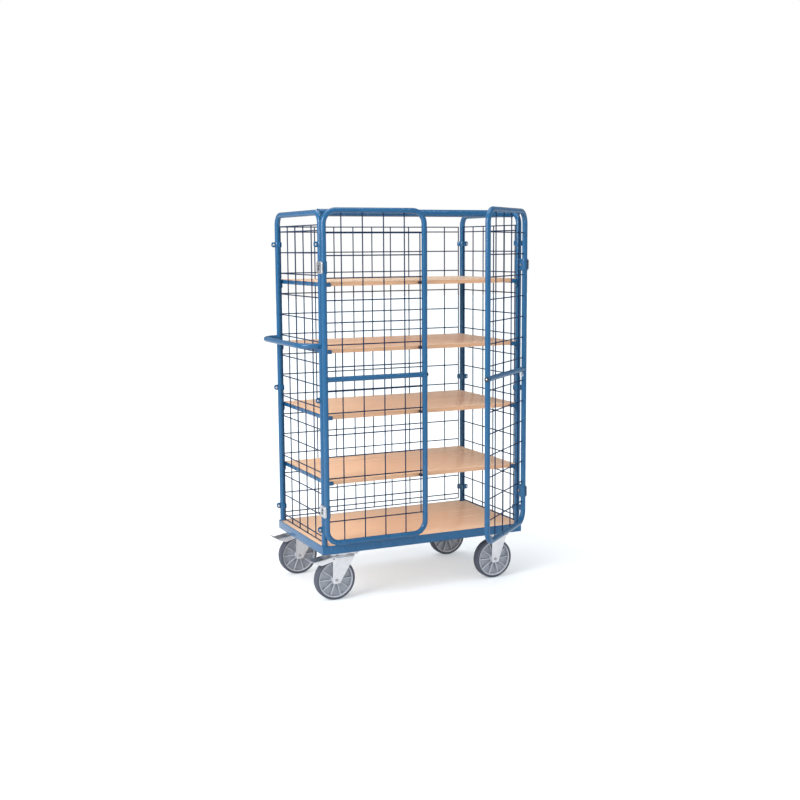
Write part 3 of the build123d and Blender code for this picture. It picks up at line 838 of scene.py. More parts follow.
class Finishes:
    """Materials made from the finishes, each once, with their slots."""

    def __init__(self) -> None:
        """Build the shared effects and every material."""
        self.effects = Effects()
        self.blue = Finish(self._paint(BLUE), Slot.FRAME)
        # Wires take the darkened blue: painted shade.
        self.wire = Finish(self._paint(WIRE_SHADED_BLUE), Slot.MESH)
        self.beech = Finish(self._laminate(BEECH), Slot.BEECH)
        self.edge = Finish(self._laminate(EDGE_BAND), Slot.BEECH)
        self.zinc = Finish(self._plating(ZINC), Slot.ZINC)
        self.fastener = Finish(self._plating(DARK_ZINC), Slot.ZINC)
        self.cap = Finish(self._plating(CAP_ZINC), Slot.ZINC)
        self.black = Finish(self._moulding(BLACK), Slot.BLACK)
        self.rim = Finish(self._moulding(RIM_GREY), Slot.RIM)
        # Darker rim grey painted as shade in the wheel's pockets.
        self.pocket_shade = Finish(self._moulding(RIM_PAINTED_SHADE), Slot.RIM)
        self.tyre = Finish(self._moulding(TYRE_GREY), Slot.TYRE)

    @staticmethod
    def _start(finish: Recipe, group: Tree, values: dict) -> tuple[Material, Node]:
        """Make a material whose colour, roughness and bump come from a group.

        Args:
            finish: The finish, with the two ends of its roughness and the strength and height of its bump.
            group: The shared effect.
            values: Value for each of the group's other inputs.

        Returns:
            The material and its shader node.
        """
        material = bpy.data.materials.new(finish.name)
        material.use_nodes = True
        graph = Graph(material.node_tree)
        shader = material.node_tree.nodes["Principled BSDF"]
        effect = graph.node("ShaderNodeGroup")
        effect.node_tree = group
        for label, value in values.items():
            effect.inputs[label].default_value = (*value, 1.0) if isinstance(value, tuple) else value
        effect.inputs["Gloss"].default_value, effect.inputs["Dull"].default_value = finish.rough
        bump = graph.node("ShaderNodeBump")
        bump.inputs["Strength"].default_value, bump.inputs["Distance"].default_value = finish.bump
        graph.join(effect.outputs["Color"], shader.inputs["Base Color"])
        graph.join(effect.outputs["Roughness"], shader.inputs["Roughness"])
        graph.join(effect.outputs["Height"], bump.inputs["Height"])
        graph.join(bump.outputs["Normal"], shader.inputs["Normal"])
        return material, shader

    def _paint(self, paint: Paint) -> Material:
        """Material of a powder coat.

        Args:
            paint: The powder coat.

        Returns:
            The material.
        """
        material, shader = self._start(paint, self.effects.coat, {"Tint": paint.colour, "Peel": paint.peel})
        shader.inputs["Coat Weight"].default_value = paint.coat
        shader.inputs["Coat Roughness"].default_value = paint.coat_rough
        shader.inputs["Specular IOR Level"].default_value = paint.specular
        return material

    def _laminate(self, laminate: Laminate) -> Material:
        """Material of a wood decor.

        Args:
            laminate: The decor.

        Returns:
            The material.
        """
        lengthwise, across, through = laminate.stretch
        material, shader = self._start(laminate, self.effects.beech, {
            "Ground": laminate.ground, "Streak": laminate.streak, "Fleck": laminate.fleck,
            "Along": lengthwise, "Across": across, "Through": through, "Flecks": laminate.flecks})
        shader.inputs["Specular IOR Level"].default_value = laminate.specular
        return material

    def _plating(self, plating: Plating) -> Material:
        """Material of bright plated steel.

        Args:
            plating: The plating.

        Returns:
            The material.
        """
        material, shader = self._start(plating, self.effects.film, {
            "Light": plating.light, "Dull Tone": plating.dull, "Scale": plating.scale})
        shader.inputs["Metallic"].default_value = 1.0
        return material

    def _moulding(self, moulding: Moulding) -> Material:
        """Material of a moulded plastic or rubber.

        Args:
            moulding: The plastic or rubber.

        Returns:
            The material.
        """
        material, _ = self._start(moulding, self.effects.skin, {
            "Tint": moulding.colour, "Bloom": moulding.bloom, "Skin": moulding.skin,
            "Share": moulding.bloom_share})
        return material


# Workshop


def linked(name: str, data: bpy.types.ID) -> Thing:
    """Object made from its data and linked to the scene.

    Args:
        name: Its name.
        data: Its data.

    Returns:
        The new object.
    """
    made = bpy.data.objects.new(name, data)
    bpy.context.scene.collection.objects.link(made)
    return made


class Workshop:
    """Puts finished pieces into the scene and on their bodies."""

    crease = math.radians(35)
    ease_from = math.radians(40)

    def __init__(self, frame: dict, finishes: Finishes) -> None:
        """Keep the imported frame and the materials."""
        self.nodes: dict[str, Thing] = frame["nodes"]
        self.finishes = finishes

    def piece(self, name: str, shape: Shape, body: str, finish: Finish,
              replaces: tuple[str, ...] = ()) -> Thing:
        """Make a mesh object from a shape and let it ride on a body.

        Args:
            name: Name of the piece.
            shape: Its points and faces in the frame of the solids.
            body: Body that it moves with.
            finish: Its material and the slot that the material belongs to.
            replaces: Nodes that it stands for.

        Returns:
            The object.
        """
        mesh = bpy.data.meshes.new(name)
        faces = shape.quads.tolist() + [cap.tolist() for cap in shape.caps]
        mesh.from_pydata(shape.points.tolist(), [], faces)
        mesh.polygons.foreach_set("use_smooth", np.ones(len(faces), bool))
        mesh.update()
        mesh.set_sharp_from_angle(angle=self.crease)
        made = linked(name, mesh)
        mesh.materials.append(finish.material)
        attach(made, body)
        if replaces:
            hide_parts(*replaces)
        log.info("%s: %d faces on %s", name, len(faces), body)
        return made

    def sheet(self, name: str, points: np.ndarray, thickness: float, body: str, finish: Finish,
              replaces: tuple[str, ...] = (), round_trip: bool = False) -> Thing:
        """Make a pressed sheet from its middle surface: a grid thickened both ways, then eased.

        Args:
            name: Name of the piece.
            points: Grid of the middle surface.
            thickness: Thickness of the sheet.
            body: Body that it moves with.
            finish: Its material and the slot that the material belongs to.
            replaces: Nodes that it stands for.
            round_trip: Whether each row of the grid comes back to its start.

        Returns:
            The sheet's object.
        """
        made = self.piece(name, surface(points, False, round_trip), body, finish, replaces)
        wall = made.modifiers.new("wall", "SOLIDIFY")
        wall.thickness = thickness
        wall.offset = 0.0
        wall.use_even_offset = not round_trip
        ease = made.modifiers.new("ease", "BEVEL")
        ease.width = SHEET_EASE
        ease.segments = 2
        ease.limit_method = "ANGLE"
        ease.angle_limit = self.ease_from
        return made

    def keep(self, names: list[str], finish: Finish) -> None:
        """Give carried-over solids their material.

        Args:
            names: Nodes of the solids.
            finish: Their finish.
        """
        for name in names:
            mesh = self.nodes[name].data
            mesh.materials.clear()
            mesh.materials.append(finish.material)
            log.info("%s keeps its solid", name)

    @staticmethod
    def bands(made: Thing, finish: Finish, upright: float = 0.6) -> None:
        """Give the upright faces of a board its edge band.

        Args:
            made: The board.
            finish: Finish of the band.
            upright: A face is upright where its normal rises by less than this share.
        """
        mesh = made.data
        mesh.materials.append(finish.material)
        normals = np.empty(len(mesh.polygons) * 3, np.float32)
        mesh.polygons.foreach_get("normal", normals)
        mesh.polygons.foreach_set("material_index", (np.abs(normals[2::3]) < upright).astype(np.int32))

    @staticmethod
    def shade_pockets(made: Thing, finish: Finish, centre: Triple, depth: float, reach: Pair) -> None:
        """Paint shade into the pockets of a wheel: their faces get a darker material.

        Args:
            made: The wheel body.
            finish: Finish of the painted shade in the pockets.
            centre: Centre of the wheel.
            depth: Distance from the middle plane that the pockets end at.
            reach: Inner and outer radius of the pockets.
        """
        mesh = made.data
        mesh.materials.append(finish.material)
        centres = np.empty(len(mesh.polygons) * 3, np.float32)
        mesh.polygons.foreach_get("center", centres)
        away = centres.reshape(-1, 3) - np.array(centre)
        radius = np.hypot(away[:, 0], away[:, 2])
        inside = (np.abs(away[:, 1]) < depth) & (radius > reach[0]) & (radius < reach[1])
        mesh.polygons.foreach_set("material_index", inside.astype(np.int32))


# Sub-assemblies


@dataclass
class Assembly:
    """Pieces that belong together, made in one workshop."""

    shop: Workshop


@dataclass
class Base(Assembly):
    """Welded angle frame, its castor pads and the deck board in it."""

    length: float = 1.060
    depth: float = 0.610
    low: float = 0.230
    height: float = 0.042
    wall: float = 0.003
    flange: float = 0.040
    section_rounds: tuple = (0.0022, 0.001, 0.001, 0.003, 0.001, 0.001)
    corner: float = 0.004
    least_bend: float = 0.0003
    board: float = 0.019
    board_ease: float = 0.0007
    gap: float = 0.001
    notch: float = 0.0275
    pads: tuple = ((-0.530, -0.339), (0.321, 0.530))
    pad_depth: float = 0.1095
    pad_corner: float = 0.004
    pad_inset: float = 0.0002
    bead: float = 0.0018
    bead_inset: float = 0.004
    bead_ripples: int = 9

    def rail(self) -> Shape:
        """Angle section carried round the base: an arc of radius corner - inset at each corner.

        Returns:
            The closed frame.
        """
        top, low, wall, flange = self.low + self.height, self.low, self.wall, self.flange
        corners = [(0, low), (flange, low), (flange, low + wall), (wall, low + wall), (wall, top), (0, top)]
        section = rounded(corners, self.section_rounds, 4, closed=True)
        inset, level = section[:, 0], section[:, 1]
        bend = np.maximum(self.corner - inset, self.least_bend)
        turn = np.linspace(0, math.pi / 2, 6)
        rows = []
        for i, (side_x, side_y) in enumerate(((1, 1), (-1, 1), (-1, -1), (1, -1))):
            angle = (turn + i * math.pi / 2)[:, None]
            x = side_x * (self.length / 2 - inset - bend) + bend * np.cos(angle)
            y = side_y * (self.depth / 2 - inset - bend) + bend * np.sin(angle)
            rows.append(np.stack([x, y, np.broadcast_to(level, x.shape)], axis=-1))
        return surface(np.vstack(rows), True, True)

    def corner_pads(self) -> Shape:
        """Plates under the castors, a little inside the flange they are welded to.

        Returns:
            The four plates.
        """
        low, high = self.low + self.pad_inset, self.low + self.wall - self.pad_inset
        front = -self.depth / 2 + self.wall
        made = []
        for x in self.pads:
            span = (x[0] + self.wall, x[1]) if x[0] < 0 else (x[0], x[1] - self.wall)
            outline = box_outline(span, (front, front + self.pad_depth), self.pad_corner)
            made.append(plate(outline, low, high, SHEET_EASE).paired(Axis.Y))
        return Shape.merge(made)

    def mitre_welds(self) -> Shape:
        """Beads inside the four corners of the angle frame, upright against the rail.

        Returns:
            The four beads.
        """
        x, y = self.length / 2 - self.wall, self.depth / 2 - self.wall
        level = np.linspace(self.low + self.bead_inset, self.low + self.height - self.bead_inset, 24)
        path = np.stack([np.full_like(level, x), np.full_like(level, y), level], axis=1)
        one = weld_bead(path, self.bead, (1, 0, 0), self.bead_ripples, closed=False)
        return one.paired(Axis.X).paired(Axis.Y)

    def deck(self) -> Shape:
        """Deck board with a notch round each post.

        Returns:
            The board.
        """
        x = self.length / 2 - self.wall - self.gap
        y = self.depth / 2 - self.wall - self.gap
        cut = self.notch
        corners = [(x, -y + cut), (x, y - cut), (x - cut, y - cut), (x - cut, y), (-x + cut, y),
                   (-x + cut, y - cut), (-x, y - cut), (-x, -y + cut), (-x + cut, -y + cut), (-x + cut, -y),
                   (x - cut, -y), (x - cut, -y + cut)]
        top = self.low + self.height
        return plate(np.array(corners), top - self.board, top, self.board_ease)

    def build(self) -> None:
        """Make the pieces of the base and dress them."""
        shop, looks = self.shop, self.shop.finishes
        frame = Shape.merge([self.rail(), self.corner_pads(), self.mitre_welds()])
        shop.piece("base_rails", frame, "chassis", looks.blue, ("base_frame",))
        deck = shop.piece("deck_panel", self.deck(), "chassis", looks.beech, ("deck_board",))
        shop.bands(deck, looks.edge)
        shop.keep(["base_bearers"], looks.blue)


@dataclass
class Cage(Assembly):
    """End frames, top rail and push handle: round tubes with their welds."""

    post_x: float = 0.513
    post_y: float = 0.288
    post: float = 0.0135
    foot: float = 0.233
    top: float = 1.7935
    bend: float = 0.050
    rail: float = 0.017
    rail_half: float = 0.5035
    handle: float = 0.01246
    handle_level: float = 1.197
    handle_x: float = -0.606
    handle_bend: float = 0.086
    foot_bead: float = 0.002
    foot_bead_out: float = 0.0006
    foot_bead_up: float = 0.0012
    rail_bead: float = 0.0016
    handle_bead: float = 0.0017

    def end_frame(self) -> Shape:
        """Inverted U: a circle carried up one post, round two bends and down the other.

        Returns:
            The right frame.
        """
        x, y = self.post_x, self.post_y
        corners = [(x, -y, self.foot), (x, -y, self.top), (x, y, self.top), (x, y, self.foot)]
        ring = circle(self.post + self.foot_bead_out, 64)
        level = np.full(len(ring), self.foot + self.foot_bead_up)
        bead = weld_bead(np.column_stack([ring[:, 0] + x, ring[:, 1], level]), self.foot_bead, (0, 0, 1), 26)
        run = tube(rounded(corners, self.bend, 16), self.post, (1, 0, 0), TUBE_SIDES)
        return Shape.merge([run, bead.moved(y=-y), bead.moved(y=y)])

    def cross_rail(self) -> Shape:
        """Straight tube between the end frames with a bead at each end.

        The bead lies where the rail meets the frame tube: its distance from the tube's axis is
        sqrt(post^2 - z^2), but never less than where the rail is cut off.

        Returns:
            The rail and its beads.
        """
        y = -self.post_y + self.bend
        run = bar((-self.rail_half, y, self.top), (self.rail_half, y, self.top), self.rail, 44)
        angle = full_turn(96)
        rise = self.rail * np.sin(angle)
        out = np.sqrt(np.maximum(self.post ** 2 - rise ** 2, (self.post_x - self.rail_half) ** 2))
        line = np.stack([self.post_x - out, y + self.rail * np.cos(angle), self.top + rise], axis=1)
        return Shape.merge([run, weld_bead(line, self.rail_bead, (1, 0, 0), 30).paired(Axis.X)])

    def push_bar(self) -> Shape:
        """Bent handle tube, welded to both posts along their saddle lines.

        Returns:
            The bar and its beads.
        """
        x, y, z = self.handle_x, self.post_y, self.handle_level
        corners = [(-self.post_x, -y, z), (x, -y, z), (x, y, z), (-self.post_x, y, z)]
        run = tube(rounded(corners, self.handle_bend, 24), self.handle, (0, 0, 1), TUBE_SIDES)
        bead = saddle_weld(self.handle, self.post, self.handle_bead, 26)
        bead = bead.mirrored(Axis.X).moved(-self.post_x, 0, z)
        return Shape.merge([run, bead.moved(y=-y), bead.moved(y=y)])

    def build(self) -> None:
        """Make the tubes and paint them."""
        shop, blue = self.shop, self.shop.finishes.blue
        right = self.end_frame()
        shop.piece("right_posts", right, "chassis", blue, ("right_end_frame",))
        shop.piece("left_posts", right.mirrored(Axis.X), "chassis", blue, ("left_end_frame",))
        shop.piece("front_cross_rail", self.cross_rail(), "chassis", blue, ("top_rail",))
        shop.piece("push_bar", self.push_bar(), "chassis", blue, ("push_handle",))


@dataclass(frozen=True)
class Wire:
    """Painted mesh wire, the level wires lying one step behind the upright ones."""

    bare: float = 0.0025
    coated: float = 0.0028
    step: float = 0.004
    sides: int = 14
    ease: float = 0.0007
    nugget: float = 1.1

    def run(self, start: Triple, end: Triple, eased: bool = False) -> Shape:
        """Straight wire, its ends eased where they show."""
        return bar(start, end, self.coated, self.sides, self.ease if eased else 0.0)

    def crossings(self, uprights: np.ndarray, levels: np.ndarray) -> Shape:
        """Nuggets of weld wherever an upright wire meets a level one.

        Args:
            uprights: Places of the upright wires along X.
            levels: Heights of the level wires.

        Returns:
            All the nuggets.
        """
        across, up = np.meshgrid(uprights, levels)
        places = np.column_stack([across.ravel(), np.full(across.size, self.step / 2), up.ravel()])
        return weld_nugget(self.coated * self.nugget).repeated(places)


@dataclass(frozen=True)
class Screw:
    """Socket screw along Y with its hexagon nut."""

    head: float = 0.006
    head_height: float = 0.005
    socket: float = 0.0045
    nut: float = 0.0104
    nut_height: float = 0.005
    nut_ease: float = 0.0005
    shank: float = 0.003
    tip: float = 0.004

    def through(self, front: float, rear: float) -> Shape:
        """Screw through a stack of sheets, its head on the front face and its nut on the rear face.

        Args:
            front: Face under the head.
            rear: Face under the nut.

        Returns:
            Head, nut and shank.
        """
        head = socket_screw(self.head, self.head_height, self.socket).turned(Axis.Z, -90)
        nut = hexagon_block(self.nut, 0, self.nut_height, self.nut_ease, self.shank).turned(Axis.X, -90)
        shank = bar((0, front, 0), (0, rear + self.tip, 0), self.shank, 16)
        return Shape.merge([head.moved(y=front), nut.moved(y=rear), shank])


@dataclass
class WirePanels(Assembly):
    """Fixed mesh on both ends and the rear, held to the posts by clips."""

    cage: Cage
    wire: Wire = Wire()
    screw: Screw = Screw()
    low: float = 0.283
    high: float = 1.7386
    rungs: int = 15
    pitch: float = 0.1004
    edge_gap: float = 0.025
    rear_wires: int = 9
    rear_pitch: float = 0.104
    end_wires: int = 4
    end_pitch: float = 0.107
    from_post: float = 0.0235
    rear_turn: float = 127.0
    end_inset: float = 0.0055
    clip_levels: tuple = (0.349, 0.949, 1.652)
    clip_height: float = 0.025
    band: float = 0.002
    band_gap: float = 0.0001
    ear: float = 0.003
    ear_round: float = 0.005
    reach: float = 0.028
    tab_reach: float = 0.031
    tab_round: float = 0.009
    bolt_place: float = 0.0225

    def levels(self) -> np.ndarray:
        """Heights of the level wires."""
        inner = self.low + self.edge_gap + self.pitch * np.arange(self.rungs)
        return np.concatenate([[self.low], inner, [self.high]])

    def panel(self, count: int, pitch: float, edge: float) -> Shape:
        """Welded panel in the XZ plane: uprights, level wires behind them, a nugget at each crossing.

        Args:
            count: Upright wires between the outer two.
            pitch: Distance between them.
            edge: Place of the outer wires from the middle.

        Returns:
            The panel.
        """
        inner = (np.arange(count) - (count - 1) / 2) * pitch
        uprights, levels = np.concatenate([[-edge], inner, [edge]]), self.levels()
        low, high = self.low - self.wire.bare, self.high + self.wire.bare
        reach, step = edge + self.wire.bare, self.wire.step
        post = self.wire.run((0, 0, low), (0, 0, high), eased=True)
        rung = self.wire.run((-reach, step, 0), (reach, step, 0), eased=True)
        return Shape.merge([post.repeated(along(Axis.X, uprights)), rung.repeated(along(Axis.Z, levels)),
                            self.wire.crossings(uprights, levels)])

    def rear_panel(self) -> Shape:
        """Panel behind the rear posts, where the slanting ears of their clips hold it.

        Returns:
            The wires of the panel.
        """
        turn = math.radians(self.rear_turn)
        edge = self.cage.post_x + self.from_post * math.cos(turn)
        made = self.panel(self.rear_wires, self.rear_pitch, edge)
        return made.moved(y=self.cage.post_y + self.from_post * math.sin(turn))

    def right_panel(self) -> Shape:
        """Panel between the two posts of the right end."""
        made = self.panel(self.end_wires, self.end_pitch, self.cage.post_y - self.from_post)
        return made.turned(Axis.Z, -90).moved(x=self.cage.post_x - self.end_inset)

    def clip(self, ears: tuple[Pair, ...]) -> Shape:
        """Band round a post with a pair of tabs outwards and pairs of ears that take the wires.

        Args:
            ears: Angle in degrees and side step of each pair of ears.

        Returns:
            The clip about the post's axis.
        """
        half = self.clip_height / 2
        post = self.cage.post
        section = box_outline((post + self.band_gap, post + self.band), (-half, half), SHEET_EASE, 3)
        shapes = [turned_profile(section, Axis.Z, 48, closed=True)]
        pairs = [(0.0, 0.0, self.tab_reach, self.tab_round)]
        pairs += [(turn, step, self.reach, self.ear_round) for turn, step in ears]
        for turn, step, reach, corner in pairs:
            corners = [(post, -half), (reach, -half), (reach, half), (post, half)]
            outline = rounded(corners, [0, corner, corner, 0], 6, closed=True)
            ear = plate(outline, self.wire.bare, self.wire.bare + self.ear, SHEET_EASE, Axis.Y)
            shapes.append(ear.paired(Axis.Y).moved(y=step).turned(Axis.Z, turn))
        return Shape.merge(shapes)

    def clips(self) -> Shape:
        """Clips at every level of the four posts.

        Returns:
            All the clips.
        """
        levels = along(Axis.Z, self.clip_levels)
        rear = self.clip(((self.rear_turn, 0.0), (-90.0, -self.end_inset)))
        front = self.clip(((90.0, self.end_inset),))
        x, y = self.cage.post_x, self.cage.post_y
        right = [rear.moved(x, y).repeated(levels), front.moved(x, -y).repeated(levels)]
        return Shape.merge(right).paired(Axis.X)

    def screws(self) -> Shape:
        """Screws through the tabs of all the clips.

        Returns:
            All the screws.
        """
        stack = self.wire.bare + self.ear
        places = np.array([(self.cage.post_x + self.bolt_place, y, z) for z in self.clip_levels
                           for y in (-self.cage.post_y, self.cage.post_y)])
        return self.screw.through(-stack, stack).repeated(places).paired(Axis.X)

    def build(self) -> None:
        """Make the three panels, their clips and the clip screws."""
        shop, looks = self.shop, self.shop.finishes
        right = self.right_panel()
        shop.piece("rear_wire_panel", self.rear_panel(), "chassis", looks.wire, ("rear_mesh",))
        shop.piece("right_wire_panel", right, "chassis", looks.wire, ("right_mesh",))
        shop.piece("left_wire_panel", right.mirrored(Axis.X), "chassis", looks.wire, ("left_mesh",))
        shop.piece("post_clips", self.clips(), "chassis", looks.blue, ("mesh_clips",))
        shop.piece("clip_screws", self.screws(), "chassis", looks.zinc, ("clip_bolts",))


@dataclass
class Shelves(Assembly):
    """Four shelf boards in their angle supports, and the rubber buffers on their front edges."""

    cage: Cage
    tops: tuple = (0.575, 0.878, 1.181, 1.484)
    board: float = 0.019
    board_corner: float = 0.0012
    board_ease: float = 0.0009
    half: float = 0.496
    front: float = -0.297
    rear: float = 0.2845
    face: float = 0.4995
    wall: float = 0.003
    width: float = 0.030
    lip: float = 0.016
    stop: float = -0.3005
    support_rear: float = 0.297
    lug_half: float = 0.012
    lug_drop: float = 0.025
    leaf_rounds: tuple = (0.004, 0.005, 0.005, 0.004, 0.001, 0.001, 0.004, 0.004)
    stop_rounds: tuple = (0.001, 0.006, 0.001, 0.001)
    flange_corner: float = 0.001
    tuck: float = 0.0004
    hair: float = 0.0002
    screw_head: Triple = (0.0055, 0.004, 0.004)
    screw_drop: float = 0.014
    buffer: float = 0.0065
    buffer_x: float = -0.027
    buffer_tip: float = -0.325
    buffer_rounds: tuple = (0, 0, 0.0006, 0.0006, 0.002, 0)

    def panel(self, top: float) -> Shape:
        """Shelf board with eased edges."""
        outline = box_outline((-self.half, self.half), (self.front, self.rear), self.board_corner, 3)
        return plate(outline, top - self.board, top, self.board_ease)

    def support(self, bottom: float) -> Shape:
        """Angle under one end of a board: upright leaf, flange, bent front stop and a lug at each post.

        Args:
            bottom: Lower face of the board.

        Returns:
            The support of the right end.
        """
        under, high, drop = bottom - self.wall, bottom + self.lip, bottom - self.lug_drop
        inner, outer = self.face - self.width, self.face - self.tuck
        y, lug = self.cage.post_y, self.lug_half
        corners = [(self.stop, high), (self.support_rear, high), (self.support_rear, drop), (y - lug, drop),
                   (y - lug, under), (-y + lug, under), (-y + lug, drop), (self.stop, drop)]
        leaf = plate(rounded(corners, self.leaf_rounds, 4, closed=True), self.face - self.wall,
                     self.face, SHEET_EASE, Axis.X)
        outline = box_outline((inner, self.face - SHEET_EASE), (self.stop + self.tuck, self.rear),
                              self.flange_corner)
        flange = plate(outline, under, bottom - self.hair, SHEET_EASE)
        corners = [(inner, under), (inner, high), (outer, high), (outer, under)]
        stop = plate(rounded(corners, self.stop_rounds, 5, closed=True), self.stop + self.hair,
                     self.stop + self.wall, SHEET_EASE, Axis.Y)
        return Shape.merge([leaf, flange, stop])

    def door_buffer(self, level: float) -> Shape:
        """Rubber buffer at a level: a profile with a lip and a rounded tip, turned about Y.

        Args:
            level: Height of its axis.

        Returns:
            The buffer.
        """
        size, length = self.buffer, self.front - self.buffer_tip
        neck = size * 0.86
        corners = [(size * 0.98, 0), (size, 0.001), (size, length * 0.2), (neck, length * 0.28),
                   (neck, length), (size * 0.3, length)]
        made = turned_profile(rounded(corners, self.buffer_rounds, 5), Axis.Y, 32)
        return made.mirrored(Axis.Y).moved(self.buffer_x, self.front, level)

    def build(self) -> None:
        """Make the boards, their supports, the screws and the buffers."""
        shop, looks = self.shop, self.shop.finishes
        for i, top in enumerate(self.tops, 1):
            node = f"shelf_board_{i}"
            made = shop.piece(f"shelf_panel_{i}", self.panel(top), "chassis", looks.beech, (node,))
            shop.bands(made, looks.edge)
        bottoms = [top - self.board for top in self.tops]
        right = Shape.merge([self.support(bottom) for bottom in bottoms])
        shop.piece("right_shelf_angles", right, "chassis", looks.blue, ("right_shelf_supports",))
        left = right.mirrored(Axis.X)
        shop.piece("left_shelf_angles", left, "chassis", looks.blue, ("left_shelf_supports",))
        places = np.array([(self.face - self.wall, side * self.cage.post_y, bottom - self.screw_drop)
                           for bottom in bottoms for side in (-1, 1)])
        heads = socket_screw(*self.screw_head).mirrored(Axis.X).repeated(places).paired(Axis.X)
        shop.piece("shelf_angle_screws", heads, "chassis", looks.fastener, ("support_screws",))
        buffers = Shape.merge([self.door_buffer(bottom + self.board / 2) for bottom in bottoms])
        shop.piece("shelf_buffers", buffers, "chassis", looks.black, ("door_buffers",))


@dataclass
class HingeClamps(Assembly):
    """A painted inner shell and a plated outer cap that clamp a post and let a door tube turn."""

    cage: Cage
    levels: tuple = (0.440, 1.549)
    height: float = 0.056
    wall: float = 0.0025
    split: float = 0.004
    gap: float = 0.0004
    corner: float = 0.009
    outward: float = 0.005
    forward: float = 0.050
    door_tube: float = 0.0125
    cap_corner: float = 0.013
    cap_depth: float = 0.0085
    cap_wall: float = 0.002
    cap_edge: float = 0.0028
    bead: Pair = (0.0300, 0.0195)
    bead_rise: float = 0.0011
    boss_rise: float = 0.0009
    # Black plate painted as shade in the cap's slots: circle radius, step apart, rise and ease.
    slot_shade_radius: float = 0.0064
    slot_shade_step: float = 0.0059
    slot_shade_rise: float = 0.0022
    slot_shade_ease: float = 0.0004
    screw: Screw = Screw(head_height=0.0018, nut_height=0.004, tip=0.0036)

    @property
    def run(self) -> float:
        """Distance from the post's axis to the door tube's."""
        return math.hypot(self.outward, self.forward)

    def bolt_place(self) -> float:
        """Place of the bolt along the clamp, midway between the two tubes."""
        return (self.cage.post + self.run - self.door_tube - self.gap) / 2

    def shell(self) -> np.ndarray:
        """Middle surface of one half shell about the post, the door tube along +X.

        The line runs round the post, along the web and round the door tube, and the half height at a place s
        is that of a rectangle whose corners are quarter circles.

        Returns:
            A grid of points.
        """
        run = self.run
        first = self.cage.post + self.wall / 2
        second = self.door_tube + self.gap + self.wall / 2
        web = self.split / 2 + self.wall / 2
        post = np.linspace(math.pi - math.asin(self.split / 2 / first), math.asin(web / first), 28)
        door = np.linspace(math.pi - math.asin(web / second), math.asin(self.split / 2 / second), 28)
        line = np.vstack([
            np.stack([first * np.cos(post), first * np.sin(post)], axis=1),
            np.stack([run + second * np.cos(door), second * np.sin(door)], axis=1)])
        start, end = -self.cage.post - self.wall, run + second + self.wall / 2
        near = np.minimum(line[:, 0] - start, end - line[:, 0])
        into = np.clip(self.corner - near, 0, self.corner)
        half = self.height / 2 - self.corner + np.sqrt(self.corner ** 2 - into ** 2)
        level = half[:, None] * np.linspace(-1, 1, 15)[None]
        flat = np.broadcast_to(line[:, None], (*level.shape, 2))
        return np.concatenate([flat, level[..., None]], axis=-1)

    def cap(self) -> np.ndarray:
        """Middle surface of the dished cap about the post, the door tube along +X.

        Rings of a rounded rectangle run from the rim over a quarter circle and in to the middle. The rim ends
        where a tube passes, at sqrt(bore^2 - s^2). The face is raised by a bell over the oval distance
        sqrt((s / a)^2 + (z / b)^2), for a pressed bead round the bolt, and by a flat bell for its boss.

        Returns:
            A grid of points.
        """
        run, edge = self.run, self.cap_edge
        side, half = self.cage.post + self.wall, self.cap_wall / 2
        tall = self.height / 2 - half
        outline = box_outline((half - side, run + side - half), (-tall, tall), self.cap_corner - half, 10)
        outline = evenly(outline, 160)
        back = np.full(len(outline), self.cap_depth - side)
        for place, bore in ((0.0, self.cage.post), (run, self.door_tube + self.gap)):
            back = np.minimum(back, -np.sqrt(np.clip(bore ** 2 - (outline[:, 0] - place) ** 2, 0, None)))
        middle = np.array([run / 2, 0.0])
        spoke = outline - middle
        length = np.linalg.norm(spoke, axis=1)
        face = half - side
        bend = np.linspace(0, math.pi / 2, 6)
        start = 1 - edge / (self.cap_depth - half)
        share = [np.ones(len(outline))] + [1 - edge * (1 - math.cos(a)) / length for a in bend]
        level = [back] + [back + (face - back) * (start + (1 - start) * math.sin(a)) for a in bend]
        share += [share[-1] * scale for scale in np.linspace(1, 0.06, 30)[1:]]
        flat = middle + spoke[None] * np.array(share)[..., None]
        oval = np.hypot((flat[..., 0] - middle[0]) / self.bead[0], flat[..., 1] / self.bead[1])
        raised = self.bead_rise * np.exp(-((oval - 0.80) / 0.10) ** 2)
        raised = raised + self.boss_rise * np.exp(-(oval / 0.42) ** 6)
        level += [np.full(len(outline), face)] * (len(share) - len(level))
        across = np.array(level) - np.where(np.arange(len(share))[:, None] < len(bend) + 1, 0.0, raised)
        return np.stack([flat[..., 0], across, flat[..., 1]], axis=-1)

    def placed(self, grid: np.ndarray, level: float, hand: Hand) -> np.ndarray:
        """Points about a post's axis put on that post at a level.

        Args:
            grid: Points, the door tube along +X.
            level: Height of the clamp.
            hand: Side of the trolley.

        Returns:
            The points in their place.
        """
        along_x, along_y = -self.outward / self.run, -self.forward / self.run
        x = grid[..., 0] * along_x - grid[..., 1] * along_y
        y = grid[..., 0] * along_y + grid[..., 1] * along_x
        x = (x - self.cage.post_x) * -hand.value
        return np.stack([x, y - self.cage.post_y, grid[..., 2] + level], axis=-1)

    def on_both_sides(self, shape: Shape) -> Shape:
        """Copies of a shape about the left post on every clamp of both doors."""
        left = Shape(self.placed(shape.points, 0.0, Hand.LEFT), shape.quads, shape.caps)
        return left.repeated(along(Axis.Z, self.levels)).paired(Axis.X)

    def bolt(self) -> Shape:
        """Socket head on the cap, shank and hexagon nut on the web."""
        made = self.screw.through(-self.cage.post - self.wall, self.split / 2 + self.wall)
        return made.moved(x=self.bolt_place())

